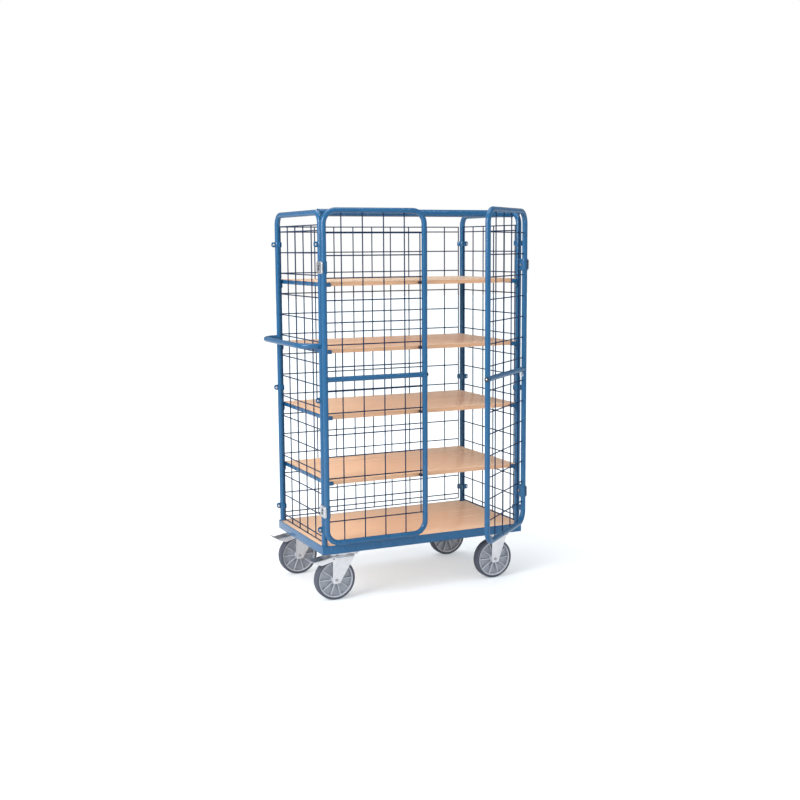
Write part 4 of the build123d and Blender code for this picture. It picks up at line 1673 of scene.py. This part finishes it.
    def slot_shade_plate(self) -> Shape:
        """Black plate over the bolt head, painted shade standing in for the cap's two slots: an outline of
        two circles, one above the other.

        Returns:
            The black plate of painted slot shade.
        """
        side = self.cage.post + self.wall
        waist = math.acos(self.slot_shade_step / self.slot_shade_radius)
        upper = np.linspace(waist - math.pi / 2, math.pi * 1.5 - waist, 24)
        arc = np.stack([self.slot_shade_radius * np.cos(upper), self.slot_shade_step + self.slot_shade_radius * np.sin(upper)], axis=1)
        outline = np.vstack([arc, -arc]) + np.array([self.bolt_place(), 0.0])
        return plate(outline, -side - self.slot_shade_rise, -side, self.slot_shade_ease, Axis.Y)

    def build(self) -> None:
        """Make the shells and caps of both doors, their bolts and the black plates painted as shade in the
        caps' slots.
        """
        shop, looks = self.shop, self.shop.finishes
        shell, cap = self.shell(), self.cap()
        for hand in Hand:
            name = f"{hand.name.lower()}_hinge"
            for i, level in enumerate(self.levels, 1):
                shop.sheet(f"{name}_shell_{i}", self.placed(shell, level, hand), self.wall, "chassis",
                           looks.blue, ("hinge_inner_shells",))
                shop.sheet(f"{name}_cap_{i}", self.placed(cap, level, hand), self.cap_wall, "chassis",
                           looks.cap, ("hinge_outer_caps",), round_trip=True)
        bolts = self.on_both_sides(self.bolt())
        shop.piece("hinge_screws", bolts, "chassis", looks.fastener, ("hinge_bolts",))
        # Black plates over the bolts: painted shade for the caps' slots.
        slot_shades = self.on_both_sides(self.slot_shade_plate())
        shop.piece("hinge_plugs", slot_shades, "chassis", looks.black)


@dataclass
class WingDoor(Assembly):
    """Tube frame with a middle bar and welded wires, about its hinge axis."""

    hand: Hand
    width: float = 0.498
    middle: float = 1.047
    half: float = 0.755
    corner: float = 0.060
    tube_size: float = 0.0125
    bar_size: float = 0.012
    bar_start: float = 0.004
    bar_bead: float = 0.0015
    wire: Wire = Wire()
    end_nugget: float = 1.5
    first_upright: float = 0.085
    upright_pitch: float = 0.104
    uprights: int = 4
    edge_wire: float = 0.022
    first_rung: float = 0.055
    rung_pitch: float = 0.100
    rungs: int = 7
    axis_x: float = 0.518
    axis_y: float = -0.338
    opened: float = 0.0

    def placed(self, shape: Shape) -> Shape:
        """Put a shape on this door, turned open where the door is.

        Args:
            shape: Shape about the left door's hinge axis.

        Returns:
            The shape on this door.
        """
        if self.hand is Hand.LEFT:
            return shape.moved(-self.axis_x, self.axis_y, self.middle)
        turned = shape.mirrored(Axis.X).turned(Axis.Z, self.opened)
        return turned.moved(self.axis_x, self.axis_y, self.middle)

    def loop(self) -> Shape:
        """Tube carried round a rectangle with four bends.

        Returns:
            The loop of the leaf.
        """
        high, wide = self.half, self.width
        corners = [(0, 0, -high), (wide, 0, -high), (wide, 0, high), (0, 0, high)]
        path = rounded(corners, self.corner, 16, closed=True)
        return tube(path, self.tube_size, (0, 1, 0), TUBE_SIDES, closed=True)

    def cross_bar(self) -> Shape:
        """Middle bar with a saddle bead at each tube.

        Returns:
            The bar and its beads.
        """
        start, end = self.bar_start, self.width - self.bar_start
        run = bar((start, 0, 0), (end, 0, 0), self.bar_size, TUBE_SIDES)
        bead = saddle_weld(self.bar_size, self.tube_size, self.bar_bead, 24)
        return Shape.merge([run, bead, bead.mirrored(Axis.X).moved(self.width)])

    def wires(self) -> Shape:
        """Upright and level wires of both halves, a nugget where they cross and where they meet a tube.

        Returns:
            The wires and nuggets of the leaf.
        """
        places = self.first_upright + self.upright_pitch * np.arange(self.uprights)
        edge = self.width - self.edge_wire
        rungs = self.first_rung + self.rung_pitch * np.arange(self.rungs)
        rungs = np.concatenate([-rungs[::-1], rungs])
        step, tip = self.wire.step, rungs.max() + self.wire.bare
        start, end = self.bar_start, self.width - self.bar_start
        post = self.wire.run((0, 0, -self.half), (0, 0, self.half))
        side = self.wire.run((edge, 0, -tip), (edge, 0, tip), eased=True)
        rung = self.wire.run((start, step, 0), (end, step, 0))
        out = math.sqrt(self.tube_size ** 2 - step ** 2)
        ends = [(x, step, z) for x in (out, self.width - out) for z in rungs]
        ends += [(x, 0, sign * level) for level in (self.half - self.tube_size, self.bar_size)
                 for x in places for sign in (-1, 1)]
        return Shape.merge([
            post.repeated(along(Axis.X, places)), side, rung.repeated(along(Axis.Z, rungs)),
            self.wire.crossings(np.append(places, edge), rungs),
            weld_nugget(self.wire.bare * self.end_nugget).repeated(np.array(ends))])

    def build(self) -> None:
        """Make the frame, the bar and the wires of the door."""
        shop, looks = self.shop, self.shop.finishes
        door = f"{self.hand.name.lower()}_door"
        shop.piece(f"{door}_loop", self.placed(self.loop()), door, looks.blue, (f"{door}_frame",))
        shop.piece(f"{door}_crossbar", self.placed(self.cross_bar()), door, looks.blue, (f"{door}_bar",))
        shop.piece(f"{door}_wires", self.placed(self.wires()), door, looks.wire, (f"{door}_mesh",))


@dataclass
class Latch(Assembly):
    """Sliding bolt of the right door with its finger ring, and the bushes it runs in."""

    door: WingDoor
    bolt: float = 0.005
    tail: float = 0.026
    tip: float = 0.513
    rod_rounds: tuple = (0, 0.001, 0.0034, 0)
    stem_place: float = 0.036
    stem_width: float = 0.008
    stem_thickness: float = 0.004
    stem_ease: float = 0.0005
    eye_drop: float = 0.016
    eye_bore: float = 0.0025
    eye_overlap: float = 0.002
    ring: float = 0.0085
    ring_wire: float = 0.0016

    def sliding_bolt(self) -> Shape:
        """Round bolt with a rounded tip, and its flat stem with an eye below the bar.

        Returns:
            The bolt and its stem.
        """
        size, place, ease = self.bolt, self.stem_place, self.stem_ease
        corners = [(size * 0.5, self.tail), (size, self.tail), (size, self.tip), (size * 0.25, self.tip)]
        rod = turned_profile(rounded(corners, self.rod_rounds, 7), Axis.X, 32)
        half, thick = self.stem_width / 2, self.stem_thickness / 2
        foot = -self.eye_drop + self.eye_overlap
        outline = np.array([(place - half, 0), (place - half, foot), (place + half, foot), (place + half, 0)])
        stem = plate(outline, -thick, thick, ease, Axis.Y)
        section = box_outline((self.eye_bore, half), (-thick, thick), ease, 3)
        eye = turned_profile(section, Axis.Y, 40, True).moved(place, 0, -self.eye_drop)
        return Shape.merge([rod, stem, eye])

    def finger_ring(self) -> Shape:
        """Ring of round wire hanging in the eye: a circle carried round a circle.

        Returns:
            The ring.
        """
        flat = circle(self.ring, 56)
        level = flat[:, 1] - self.eye_drop - self.ring
        path = np.column_stack([np.full(len(flat), self.stem_place), flat[:, 0], level])
        return tube(path, self.ring_wire, (1, 0, 0), 16, closed=True)

    def build(self) -> None:
        """Make the bolt and its ring, and dress the bushes."""
        shop, looks = self.shop, self.shop.finishes
        rod, ring = self.door.placed(self.sliding_bolt()), self.door.placed(self.finger_ring())
        shop.piece("latch_rod", rod, "door_bolt", looks.zinc, ("door_bolt",))
        shop.piece("latch_ring", ring, "pull_ring", looks.zinc, ("pull_ring",))
        shop.keep(["left_bolt_keeper", "bolt_guide"], looks.black)


@dataclass
class Wheel(Assembly):
    """Grey tyre on a ribbed rim, about an axle along Y at the origin."""

    radius: float = 0.098
    crown: float = 0.0006
    tyre_width: float = 0.046
    tyre_round: float = 0.009
    tyre_foot: float = 0.0008
    rim: float = 0.086
    rim_gap: float = 0.0001
    rim_width: float = 0.040
    rim_rounds: tuple = (0.0005, 0.0015, 0.003, 0.003, 0.001, 0.001)
    draft: float = 0.001
    ring: float = 0.006
    web: float = 0.006
    ribs: int = 10
    rib: float = 0.004
    rib_width: float = 0.032
    rib_slope: float = 0.004
    rib_ease: float = 0.0009
    hub: float = 0.020
    hub_width: float = 0.054
    bore: float = 0.01005
    # Reach of the painted shade in the pockets.
    pocket: float = 0.0125
    pocket_gap: float = 0.0005
    leg_outside: float = 0.032
    axle: float = 0.006
    axle_past: float = 0.001
    axle_head: tuple = (0.0138, 0, 0.004, 0.0006, 0.0035)

    def tyre(self) -> Shape:
        """Tyre profile turned about the axle: a crowned tread between rounded shoulders.

        Returns:
            The tyre.
        """
        half, edge = self.tyre_width / 2, self.radius - self.crown
        corners = [(self.rim, -half), (edge, -half), (self.radius, 0), (edge, half), (self.rim, half)]
        rounds = [self.tyre_foot, self.tyre_round, 0.0, self.tyre_round, self.tyre_foot]
        return turned_profile(rounded(corners, rounds, 10, closed=True), Axis.Y, 128, closed=True)

    def rim_body(self) -> Shape:
        """Rim with hub, web and ring in one turned profile, and ribs between hub and ring.

        Returns:
            The rim and its ribs.
        """
        hub, web, half = self.hub_width / 2, self.web / 2, self.rim_width / 2
        inner, outer = self.rim - self.ring, self.rim - self.rim_gap
        side = [(self.bore, -hub), (self.hub, -hub), (self.hub + self.draft, -web),
                (inner - self.draft, -web), (inner, -half), (outer, -half)]
        corners = side + [(radius, -width) for radius, width in reversed(side)]
        rounds = [*self.rim_rounds, *reversed(self.rim_rounds)]
        body = turned_profile(rounded(corners, rounds, 4, closed=True), Axis.Y, 96, closed=True)
        start, end = self.hub - self.draft, inner + self.draft
        low, high = self.rib_width / 2, self.rib_width / 2 + self.rib_slope
        outline = np.array([(start, -high), (end, -low), (end, low), (start, high)])
        rib = plate(outline, -self.rib / 2, self.rib / 2, self.rib_ease, Axis.Z)
        return Shape.merge([body, *(rib.turned(Axis.Y, i * 360 / self.ribs) for i in range(self.ribs))])

    def axle_bolt(self) -> Shape:
        """Axle bolt with a hexagon head and a like nut.

        Returns:
            The bolt and its nut.
        """
        reach = self.leg_outside + self.axle_past
        shank = bar((0, -reach, 0), (0, reach, 0), self.axle, 32)
        head = hexagon_block(*self.axle_head).turned(Axis.X, 90).moved(y=-self.leg_outside)
        return Shape.merge([shank, head.paired(Axis.Y)])

    def build(self, name: str, place: Triple, body: str, axle_body: str) -> None:
        """Make one wheel and its axle.

        Args:
            name: First words of its nodes' names.
            place: Centre of the wheel.
            body: Body that the wheel turns with.
            axle_body: Body that carries the axle.
        """
        shop, looks = self.shop, self.shop.finishes
        shade_pockets = (self.hub + self.pocket_gap, self.rim - self.ring + self.pocket_gap)
        tyre, rim, axle = (made.moved(*place) for made in (self.tyre(), self.rim_body(), self.axle_bolt()))
        shop.piece(f"{name}_tread", tyre, body, looks.tyre, (f"{name}_tyre",))
        made = shop.piece(f"{name}_wheel_body", rim, body, looks.rim, (f"{name}_rim",))
        # The pockets get a darker grey: painted shade.
        shop.shade_pockets(made, looks.pocket_shade, place, self.pocket, shade_pockets)
        shop.piece(f"{name}_axle_bolt", axle, axle_body, looks.fastener, (f"{name}_axle",))
        shop.keep([f"{name}_hub_bush"], looks.fastener)


@dataclass
class Pedal:
    """Brake pedal about its pin: bent tread sheet, side flanges, pin and shoe, and black ridges and bore
    filling painted as shade.
    """

    pin_x: float = -0.054
    pin_level: float = 0.2016
    tilt: float = -10.0
    inside: float = 0.0324
    wall: float = 0.003
    inset: float = 0.0002
    ear: float = 0.011
    tread_line: tuple = ((-0.015, 0.0085), (-0.096, 0.0085), (-0.116, 0.0215))
    tread_bend: float = 0.006
    heel: tuple = (0.008, 48, (-0.060, -0.007))
    toe: tuple = (0.004, 32, (-0.092, 0.004))
    pin: Pair = (0.0025, 0.004)
    pin_past: float = 0.003
    pin_ease: float = 0.0004
    # Black bar filling the pin's bore: painted shade of the hollow.
    bore_shade: float = 0.0034
    bore_shade_past: float = 0.0031
    bore_shade_ease: float = 0.0003
    # Ridges on the tread, black as painted shade for its grooves.
    ridge: float = 0.0016
    ridges: int = 6
    ridge_span: Pair = (-0.050, -0.090)
    ridge_level: float = 0.0100
    ridge_inset: float = 0.006
    shoe_span: Pair = (-0.046, -0.032)
    shoe_top: float = 0.008
    shoe_half: float = 0.015
    shoe_gap: float = 0.0012

    @property
    def outside(self) -> float:
        """Outer face of a side flange."""
        return self.inside + self.wall

    def placed(self, shapes: list[Shape]) -> Shape:
        """Shapes about the pin, tilted and put in their place on the castor."""
        return Shape.merge(shapes).turned(Axis.Y, self.tilt).moved(self.pin_x, 0, self.pin_level)

    def tread(self) -> np.ndarray:
        """Middle surface of the tread: its bent line carried across the pedal.

        Returns:
            A grid of points.
        """
        line = rounded(self.tread_line, self.tread_bend, 6)
        line = np.vstack([np.linspace(line[0], line[1], 12)[:-1], line[1:]])
        share = np.linspace(-1, 1, 13)
        across = np.broadcast_to(share[None] * (self.outside - self.inset), (len(line), len(share)))
        grid = np.stack([np.broadcast_to(line[:, :1], across.shape), across,
                         np.broadcast_to(line[:, 1:], across.shape)], axis=-1)
        turn = np.array(Matrix.Rotation(math.radians(self.tilt), 3, "Y"))
        return grid @ turn.T + np.array([self.pin_x, 0, self.pin_level])

    def shoe(self, trail: float, axle: float) -> Shape:
        """Brake shoe over the wheel: its lower face follows z = centre + sqrt(radius^2 - (x - centre)^2).

        Args:
            trail: Distance of the axle behind the king pin.
            axle: Height of the axle, which is also the wheel's radius.

        Returns:
            The shoe about the pin, before the pedal is tilted.
        """
        x, z = -trail - self.pin_x, axle - self.pin_level
        tilt = math.radians(-self.tilt)
        centre_x = x * math.cos(tilt) + z * math.sin(tilt)
        centre_z = z * math.cos(tilt) - x * math.sin(tilt)
        start, end = self.shoe_span
        place = np.linspace(start, end, 9)
        level = centre_z + np.sqrt((axle + self.shoe_gap) ** 2 - (place - centre_x) ** 2)
        top = [(end, self.shoe_top), (start, self.shoe_top)]
        outline = np.vstack([top, np.stack([place, level], axis=1)])
        return plate(outline, -self.shoe_half, self.shoe_half, SHEET_EASE, Axis.Y)

    def plated(self, trail: float, axle: float) -> Shape:
        """Side flanges, hollow pin and shoe.

        Args:
            trail: Distance of the axle behind the king pin.
            axle: Height of the axle.

        Returns:
            The plated pieces in place on the castor.
        """
        outline = hull_of(np.vstack([circle(self.ear, 64), circle(*self.heel), circle(*self.toe)]))
        flange = plate(outline, self.inside, self.outside, SHEET_EASE, Axis.Y)
        reach = self.outside + self.pin_past
        bore, size = self.pin
        corners = [(bore, -reach), (size, -reach), (size, reach), (bore, reach)]
        pin = turned_profile(rounded(corners, self.pin_ease, 3, closed=True), Axis.Y, 28, closed=True)
        return self.placed([flange.paired(Axis.Y), pin, self.shoe(trail, axle)])

    def grip_and_bore_shade(self) -> Shape:
        """Ridges across the tread, black as painted shade for its grooves, and a black bar in the pin's bore,
        painted shade for the hollow.

        Returns:
            The ridges and the bore's painted shade.
        """
        reach, past = self.outside - self.ridge_inset, self.outside + self.bore_shade_past
        ridge = bar((0, -reach, 0), (0, reach, 0), self.ridge, 12, SHEET_EASE)
        places = np.array([(x, 0, self.ridge_level) for x in np.linspace(*self.ridge_span, self.ridges)])
        bore_shade = bar((0, -past, 0), (0, past, 0), self.bore_shade, 20, self.bore_shade_ease)
        return self.placed([ridge.repeated(places), bore_shade])


@dataclass
class Castors(Assembly):
    """Two braked swivel castors under the handle end and two fixed ones under the other."""

    swivel_x: float = -0.414
    fixed_x: float = 0.396
    castor_y: float = 0.249
    trail: float = 0.038
    axle_level: float = 0.098
    plate_low: float = 0.225
    plate_high: float = 0.2299
    plate_half: Pair = (0.070, 0.054)
    plate_corner: float = 0.008
    plate_ease: float = 0.0008
    race: float = 0.036
    race_draw: float = 0.004
    race_middle: float = 0.002
    upper_race: Pair = (0.2182, 0.2215)
    lower_race: Triple = (0.2116, 0.2150, 0.2176)
    upper_rounds: tuple = (0, 0.002, 0.002, 0.001, 0)
    lower_rounds: tuple = (0, 0.001, 0.002, 0.001, 0)
    race_lip: float = 0.0015
    king_nut: tuple = (0.024, 0.2002, 0.2060, 0.0008)
    crown_top: float = 0.2116
    crown_half: float = 0.057
    crown_bend: float = 0.007
    fork_depth: float = 0.00225
    leg_short: float = 0.008
    leg_middle: float = 0.030
    leg_wall: float = 0.004
    fixed_reach: float = 0.066
    foot_half: float = 0.013
    foot_round: float = 0.006
    foot_drop: float = 0.017
    hole: Pair = (0.054, 0.043)
    bolt: float = 0.005
    bolt_across: float = 0.0164
    bolt_head: float = 0.0064
    bolt_ease: float = 0.0008
    bolt_nut: Pair = (0.233, 0.241)
    bolt_sink: float = 0.0052
    bolt_tip: float = 0.243
    bolt_inside: float = 0.002
    pedal: Pedal = field(default_factory=Pedal)

    def legs(self, top: float, depth: float, edge: Pair, foot: float, ear: bool) -> np.ndarray:
        """Middle surface of a pressed fork: down one leg, over the crown and down the other.

        The line runs across the castor, and at each height the sheet spans the outline stretched round the
        crown's edge and the rounded foot, widened by the pedal's ear where it has one.

        Args:
            top: Upper face of the crown.
            depth: Distance of the middle surface under that face.
            edge: Left and right end of the crown.
            foot: Place of the axle along X.
            ear: Whether the sheet carries the pedal pin.

        Returns:
            Grid of points, across the castor by along it.
        """
        bottom = self.axle_level - self.foot_drop
        level, bend = top - depth, self.crown_bend
        rise = np.concatenate([np.linspace(0, 0.14, 12)[:-1], np.linspace(0.14, 1, 26)])
        leg = bottom + rise * (level - self.leg_short - bottom)
        corners = [(-self.leg_middle, bottom), (-self.leg_middle, level), (0, level)]
        upright = np.stack([np.full_like(leg, -self.leg_middle), leg], axis=1)
        half = np.vstack([upright, rounded(corners, bend, 6)[1:-1]])
        across = np.linspace(-1, 1, 9)[1:-1] * (self.leg_middle - bend)
        flat = np.stack([across, np.full_like(across, level)], axis=1)
        line = np.vstack([half, flat, half[::-1] * np.array([-1, 1])])
        feet = [circle(self.foot_round, 64, (foot + side * self.foot_half, bottom + self.foot_round))
                for side in (-1, 1)]
        outline = hull_of(np.vstack([[(edge[0], top), (edge[1], top)], *feet]))
        heights = line[:, 1]
        low, high = (side * self._hull_reach(outline, heights, side) for side in (-1, 1))
        if ear:
            size = self.pedal.ear
            drop = np.clip(np.abs(heights - self.pedal.pin_level), 0, size)
            reach = self.pedal.pin_x - np.sqrt(size ** 2 - drop ** 2)
            low = np.where(drop < size, np.minimum(low, reach), low)
        share = np.linspace(0, 1, 17)[None]
        x = low[:, None] * (1 - share) + high[:, None] * share
        spread = np.broadcast_to(line[:, None], (*x.shape, 2))
        return np.concatenate([x[..., None], spread], axis=-1)

    @staticmethod
    def _hull_reach(outline: np.ndarray, heights: np.ndarray, side: int) -> np.ndarray:
        """How far an outline reaches to one side at each height: the furthest crossing of its edges.

        Args:
            outline: Closed outline of X and Z.
            heights: Heights to look at.
            side: One to look along X, minus one to look against it.

        Returns:
            The reach at each height.
        """
        start, end = outline, np.roll(outline, -1, axis=0)
        rise = end[:, 1] - start[:, 1]
        share = (heights[:, None] - start[None, :, 1]) / np.where(np.abs(rise) < 1e-9, 1e-9, rise)[None]
        crossing = start[None, :, 0] + share * (end - start)[None, :, 0]
        inside = (share >= -1e-6) & (share <= 1 + 1e-6)
        return np.where(inside, side * crossing, -1e3).max(axis=1)

    def top_plate(self) -> Shape:
        """Mounting plate with rounded corners.

        Returns:
            The plate.
        """
        x, y = self.plate_half
        outline = box_outline((-x, x), (-y, y), self.plate_corner, 6)
        return plate(outline, self.plate_low, self.plate_high, self.plate_ease)

    def races(self) -> tuple[Shape, Shape]:
        """Upper race under the plate and lower race on the fork, both turned rings with a rolled rim.

        Returns:
            The upper and the lower race.
        """
        size, draw, middle = self.race, self.race - self.race_draw, self.race_middle
        low, shoulder = self.upper_race
        top = self.plate_low
        corners = [(middle, top), (draw, top), (size, shoulder), (size, low), (middle, low)]
        upper = rounded(corners, self.upper_rounds, 5)
        low, shoulder, top = self.lower_race
        corners = [(middle, top), (size - self.race_lip, top), (size, shoulder), (draw, low), (middle, low)]
        lower = rounded(corners, self.lower_rounds, 5)
        return turned_profile(upper, Axis.Z, 64), turned_profile(lower, Axis.Z, 64)

    def bolts(self) -> Shape:
        """Hexagon heads under the plates and nuts on the flange, sixteen of each.

        Returns:
            All the heads, nuts and shanks.
        """
        low, across, ease = self.plate_low, self.bolt_across, self.bolt_ease
        head = hexagon_block(across, low - self.bolt_head, low, ease)
        nut = hexagon_block(across, *self.bolt_nut, ease, self.bolt_sink)
        shank = bar((0, 0, low - self.bolt_inside), (0, 0, self.bolt_tip), self.bolt, 20, SHEET_EASE)
        places = [(x + i * self.hole[0], y + j * self.hole[1], 0) for x in (self.swivel_x, self.fixed_x)
                  for y in (-self.castor_y, self.castor_y) for i in (-1, 1) for j in (-1, 1)]
        return Shape.merge([head, nut, shank]).repeated(np.array(places))

    def build_swivel(self, side: str, y: float) -> None:
        """Make one braked swivel castor.

        Args:
            side: First word of its nodes' names.
            y: Place of its king pin along Y.
        """
        shop, zinc = self.shop, self.shop.finishes.zinc
        place = np.array([self.swivel_x, y, 0.0])
        swivel, braked = f"{side}_swivel", f"{side}_pedal"
        upper, lower = self.races()
        mount = Shape.merge([self.top_plate(), upper, hexagon_block(*self.king_nut)])
        crown = (-self.crown_half, self.crown_half)
        fork = self.legs(self.crown_top, self.fork_depth, crown, -self.trail, True)
        plated, grip_and_bore_shade = self.pedal.plated(self.trail, self.axle_level), self.pedal.grip_and_bore_shade()
        fork_node, pedal_node = (f"{side}_swivel_fork",), (f"{side}_brake_pedal",)
        shop.piece(f"{side}_swivel_mount", mount.moved(*place), "chassis", zinc, (f"{side}_swivel_plate",))
        shop.sheet(f"{side}_fork_legs", fork + place, self.leg_wall, swivel, zinc, fork_node)
        shop.piece(f"{side}_fork_race", lower.moved(*place), swivel, zinc, fork_node)
        tread = self.pedal.tread() + place
        shop.sheet(f"{side}_pedal_tread", tread, self.pedal.wall, braked, zinc, pedal_node)
        shop.piece(f"{side}_pedal_body", plated.moved(*place), braked, zinc, pedal_node)
        # Black ridges and bore filling: painted shade.
        shop.piece(f"{side}_pedal_grips", grip_and_bore_shade.moved(*place), braked, shop.finishes.black)
        centre = (self.swivel_x - self.trail, y, self.axle_level)
        Wheel(shop).build(f"{side}_swivel", centre, f"{side}_swivel_wheel", swivel)

    def build_fixed(self, side: str, y: float) -> None:
        """Make one fixed castor.

        Args:
            side: First word of its nodes' names.
            y: Place of its wheel along Y.
        """
        shop, zinc = self.shop, self.shop.finishes.zinc
        place = np.array([self.fixed_x, y, 0.0])
        edge, node = (-self.foot_half - self.foot_round, self.fixed_reach), (f"{side}_fixed_bracket",)
        legs = self.legs(self.plate_low, self.leg_wall / 2, edge, 0.0, False)
        shop.sheet(f"{side}_bracket_legs", legs + place, self.leg_wall, "chassis", zinc, node)
        shop.piece(f"{side}_bracket_plate", self.top_plate().moved(*place), "chassis", zinc, node)
        centre = (self.fixed_x, y, self.axle_level)
        Wheel(shop).build(f"{side}_fixed", centre, f"{side}_fixed_wheel", "chassis")

    def build(self) -> None:
        """Make the four castors and the bolts that hold them."""
        for side, y in (("front", -self.castor_y), ("rear", self.castor_y)):
            self.build_swivel(side, y)
            self.build_fixed(side, y)
        fastener = self.shop.finishes.fastener
        self.shop.piece("castor_screws", self.bolts(), "chassis", fastener, ("castor_bolts",))


# Studio


@dataclass(frozen=True)
class Lamp:
    """Soft rectangular lamp: its place, what it faces, its size in metres and its power in watts."""

    name: str
    place: Triple
    target: Triple
    size: Pair
    power: float


@dataclass
class Studio:
    """Pale floor, white surroundings, soft lamps and the camera."""

    place: Triple = (-2.439, -5.244, 1.642)
    lens: float = 52.98
    sensor: float = 36.0
    sight: float = 200.0
    yaw: float = 25.03
    pitch: float = 7.45
    roll: float = 0.37
    floor_half: float = 30.0
    floor_tone: Colour = (0.77, 0.79, 0.815)
    floor_rough: float = 0.9
    floor_lift: Pair = (0.27, 0.62)
    lift_span: Pair = (1.0, 3.2)
    lift_tone: Colour = (0.84, 0.94, 1.0)
    surround: float = 2.12
    overhead: float = 0.25
    overhead_span: Pair = (0.3, 0.7)
    mirrored: float = 0.32
    lamps: tuple[Lamp, ...] = (
        Lamp("key_softbox", (-0.5, 1.2, 4.8), (0, 0, 0.8), (3.4, 3.4), 75.0),
        Lamp("strip_light", (-0.2, -1.3, 4.7), (-0.2, -0.35, 1.0), (4.2, 0.16), 32.0),
        Lamp("left_softbox", (-4.4, -1.6, 3.0), (0, 0, 0.9), (2.6, 2.6), 185.0))

    def floor(self) -> None:
        """Flat floor: pale and dull, lifted to white for the camera so that only the shadow is left."""
        size = self.floor_half
        mesh = bpy.data.meshes.new("floor")
        corners = [(-size, -size, 0), (size, -size, 0), (size, size, 0), (-size, size, 0)]
        mesh.from_pydata(corners, [], [(0, 1, 2, 3)])
        made = linked("floor", mesh)
        material = bpy.data.materials.new("pale_floor")
        material.use_nodes = True
        graph = Graph(material.node_tree)
        shader = material.node_tree.nodes["Principled BSDF"]
        shader.inputs["Base Color"].default_value = (*self.floor_tone, 1)
        shader.inputs["Roughness"].default_value = self.floor_rough
        shader.inputs["Specular IOR Level"].default_value = 0.0
        shader.inputs["Emission Color"].default_value = (*self.lift_tone, 1)
        rays = graph.node("ShaderNodeLightPath")
        away = graph.node("ShaderNodeVectorMath", operation="LENGTH")
        graph.join(graph.place(), away.inputs[0])
        lift = graph.node("ShaderNodeMath", operation="MULTIPLY")
        graph.join(rays.outputs["Is Camera Ray"], lift.inputs[0])
        graph.join(graph.span(away.outputs["Value"], self.lift_span, self.floor_lift), lift.inputs[1])
        graph.join(lift.outputs[0], shader.inputs["Emission Strength"])
        mesh.materials.append(material)

    def world(self) -> None:
        """Surroundings: bright at the sides, dim overhead and in reflections, white for the camera."""
        world = bpy.data.worlds.new("white_surroundings")
        bpy.context.scene.world = world
        world.use_nodes = True
        graph = Graph(world.node_tree)
        background = world.node_tree.nodes["Background"]
        background.inputs["Color"].default_value = (1, 1, 1, 1)
        rays = graph.node("ShaderNodeLightPath")
        axes = graph.node("ShaderNodeSeparateXYZ")
        graph.join(graph.node("ShaderNodeTexCoord").outputs["Generated"], axes.inputs[0])
        sky = graph.span(axes.outputs["Z"], self.overhead_span, [self.surround, self.overhead])
        soft = graph.span(rays.outputs["Is Glossy Ray"], (0.0, 1.0), [sky, self.mirrored])
        seen = graph.span(rays.outputs["Is Camera Ray"], (0.0, 1.0), [soft, 1.0])
        graph.join(seen, background.inputs["Strength"])

    @staticmethod
    def facing(right: np.ndarray, up: np.ndarray, back: np.ndarray, place: Triple) -> Matrix:
        """Placing matrix of an object whose own axes point to the right, up and back."""
        return Matrix([*np.column_stack([right, up, back, place]).tolist(), [0, 0, 0, 1]])

    def hang(self, lamp: Lamp) -> None:
        """Hang a lamp so that it faces its target.

        Args:
            lamp: The lamp.
        """
        data = bpy.data.lights.new(lamp.name, "AREA")
        data.shape = "RECTANGLE"
        data.size, data.size_y = lamp.size
        data.energy = lamp.power
        back = np.array(lamp.place) - np.array(lamp.target)
        back = back / np.linalg.norm(back)
        right = np.cross((0, 0, 1), back)
        right = right / np.linalg.norm(right)
        linked(lamp.name, data).matrix_world = self.facing(right, np.cross(back, right), back, lamp.place)

    def camera(self) -> None:
        """Camera at the photograph's place, looking along its yaw and pitch with a slight roll."""
        yaw, pitch, roll = (math.radians(value) for value in (self.yaw, self.pitch, self.roll))
        ahead = np.array([math.sin(yaw) * math.cos(pitch), math.cos(yaw) * math.cos(pitch), -math.sin(pitch)])
        right = np.array([math.cos(yaw), -math.sin(yaw), 0.0])
        down = np.cross(ahead, right)
        across = math.cos(roll) * right + math.sin(roll) * down
        below = -math.sin(roll) * right + math.cos(roll) * down
        data = bpy.data.cameras.new("photo_camera")
        data.lens, data.sensor_width = self.lens, self.sensor
        data.clip_end = self.sight
        made = linked("photo_camera", data)
        made.matrix_world = self.facing(across, -below, -ahead, self.place)
        bpy.context.scene.camera = made

    def build(self) -> None:
        """Set up the whole studio."""
        bpy.context.scene.view_settings.view_transform = "Standard"
        self.floor()
        self.world()
        for lamp in self.lamps:
            self.hang(lamp)
        self.camera()


def main() -> None:
    """Load the frame and build every sub-assembly in order."""
    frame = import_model()
    shop = Workshop(frame, Finishes())
    cage = Cage(shop)
    Base(shop).build()
    cage.build()
    WirePanels(shop, cage).build()
    Shelves(shop, cage).build()
    HingeClamps(shop, cage).build()
    left = WingDoor(shop, Hand.LEFT)
    right = WingDoor(shop, Hand.RIGHT, opened=40.0)
    left.build()
    right.build()
    Latch(shop, right).build()
    Castors(shop).build()
    Studio().build()
    log.info("all pieces built")


if __name__ == "__main__":
    main()
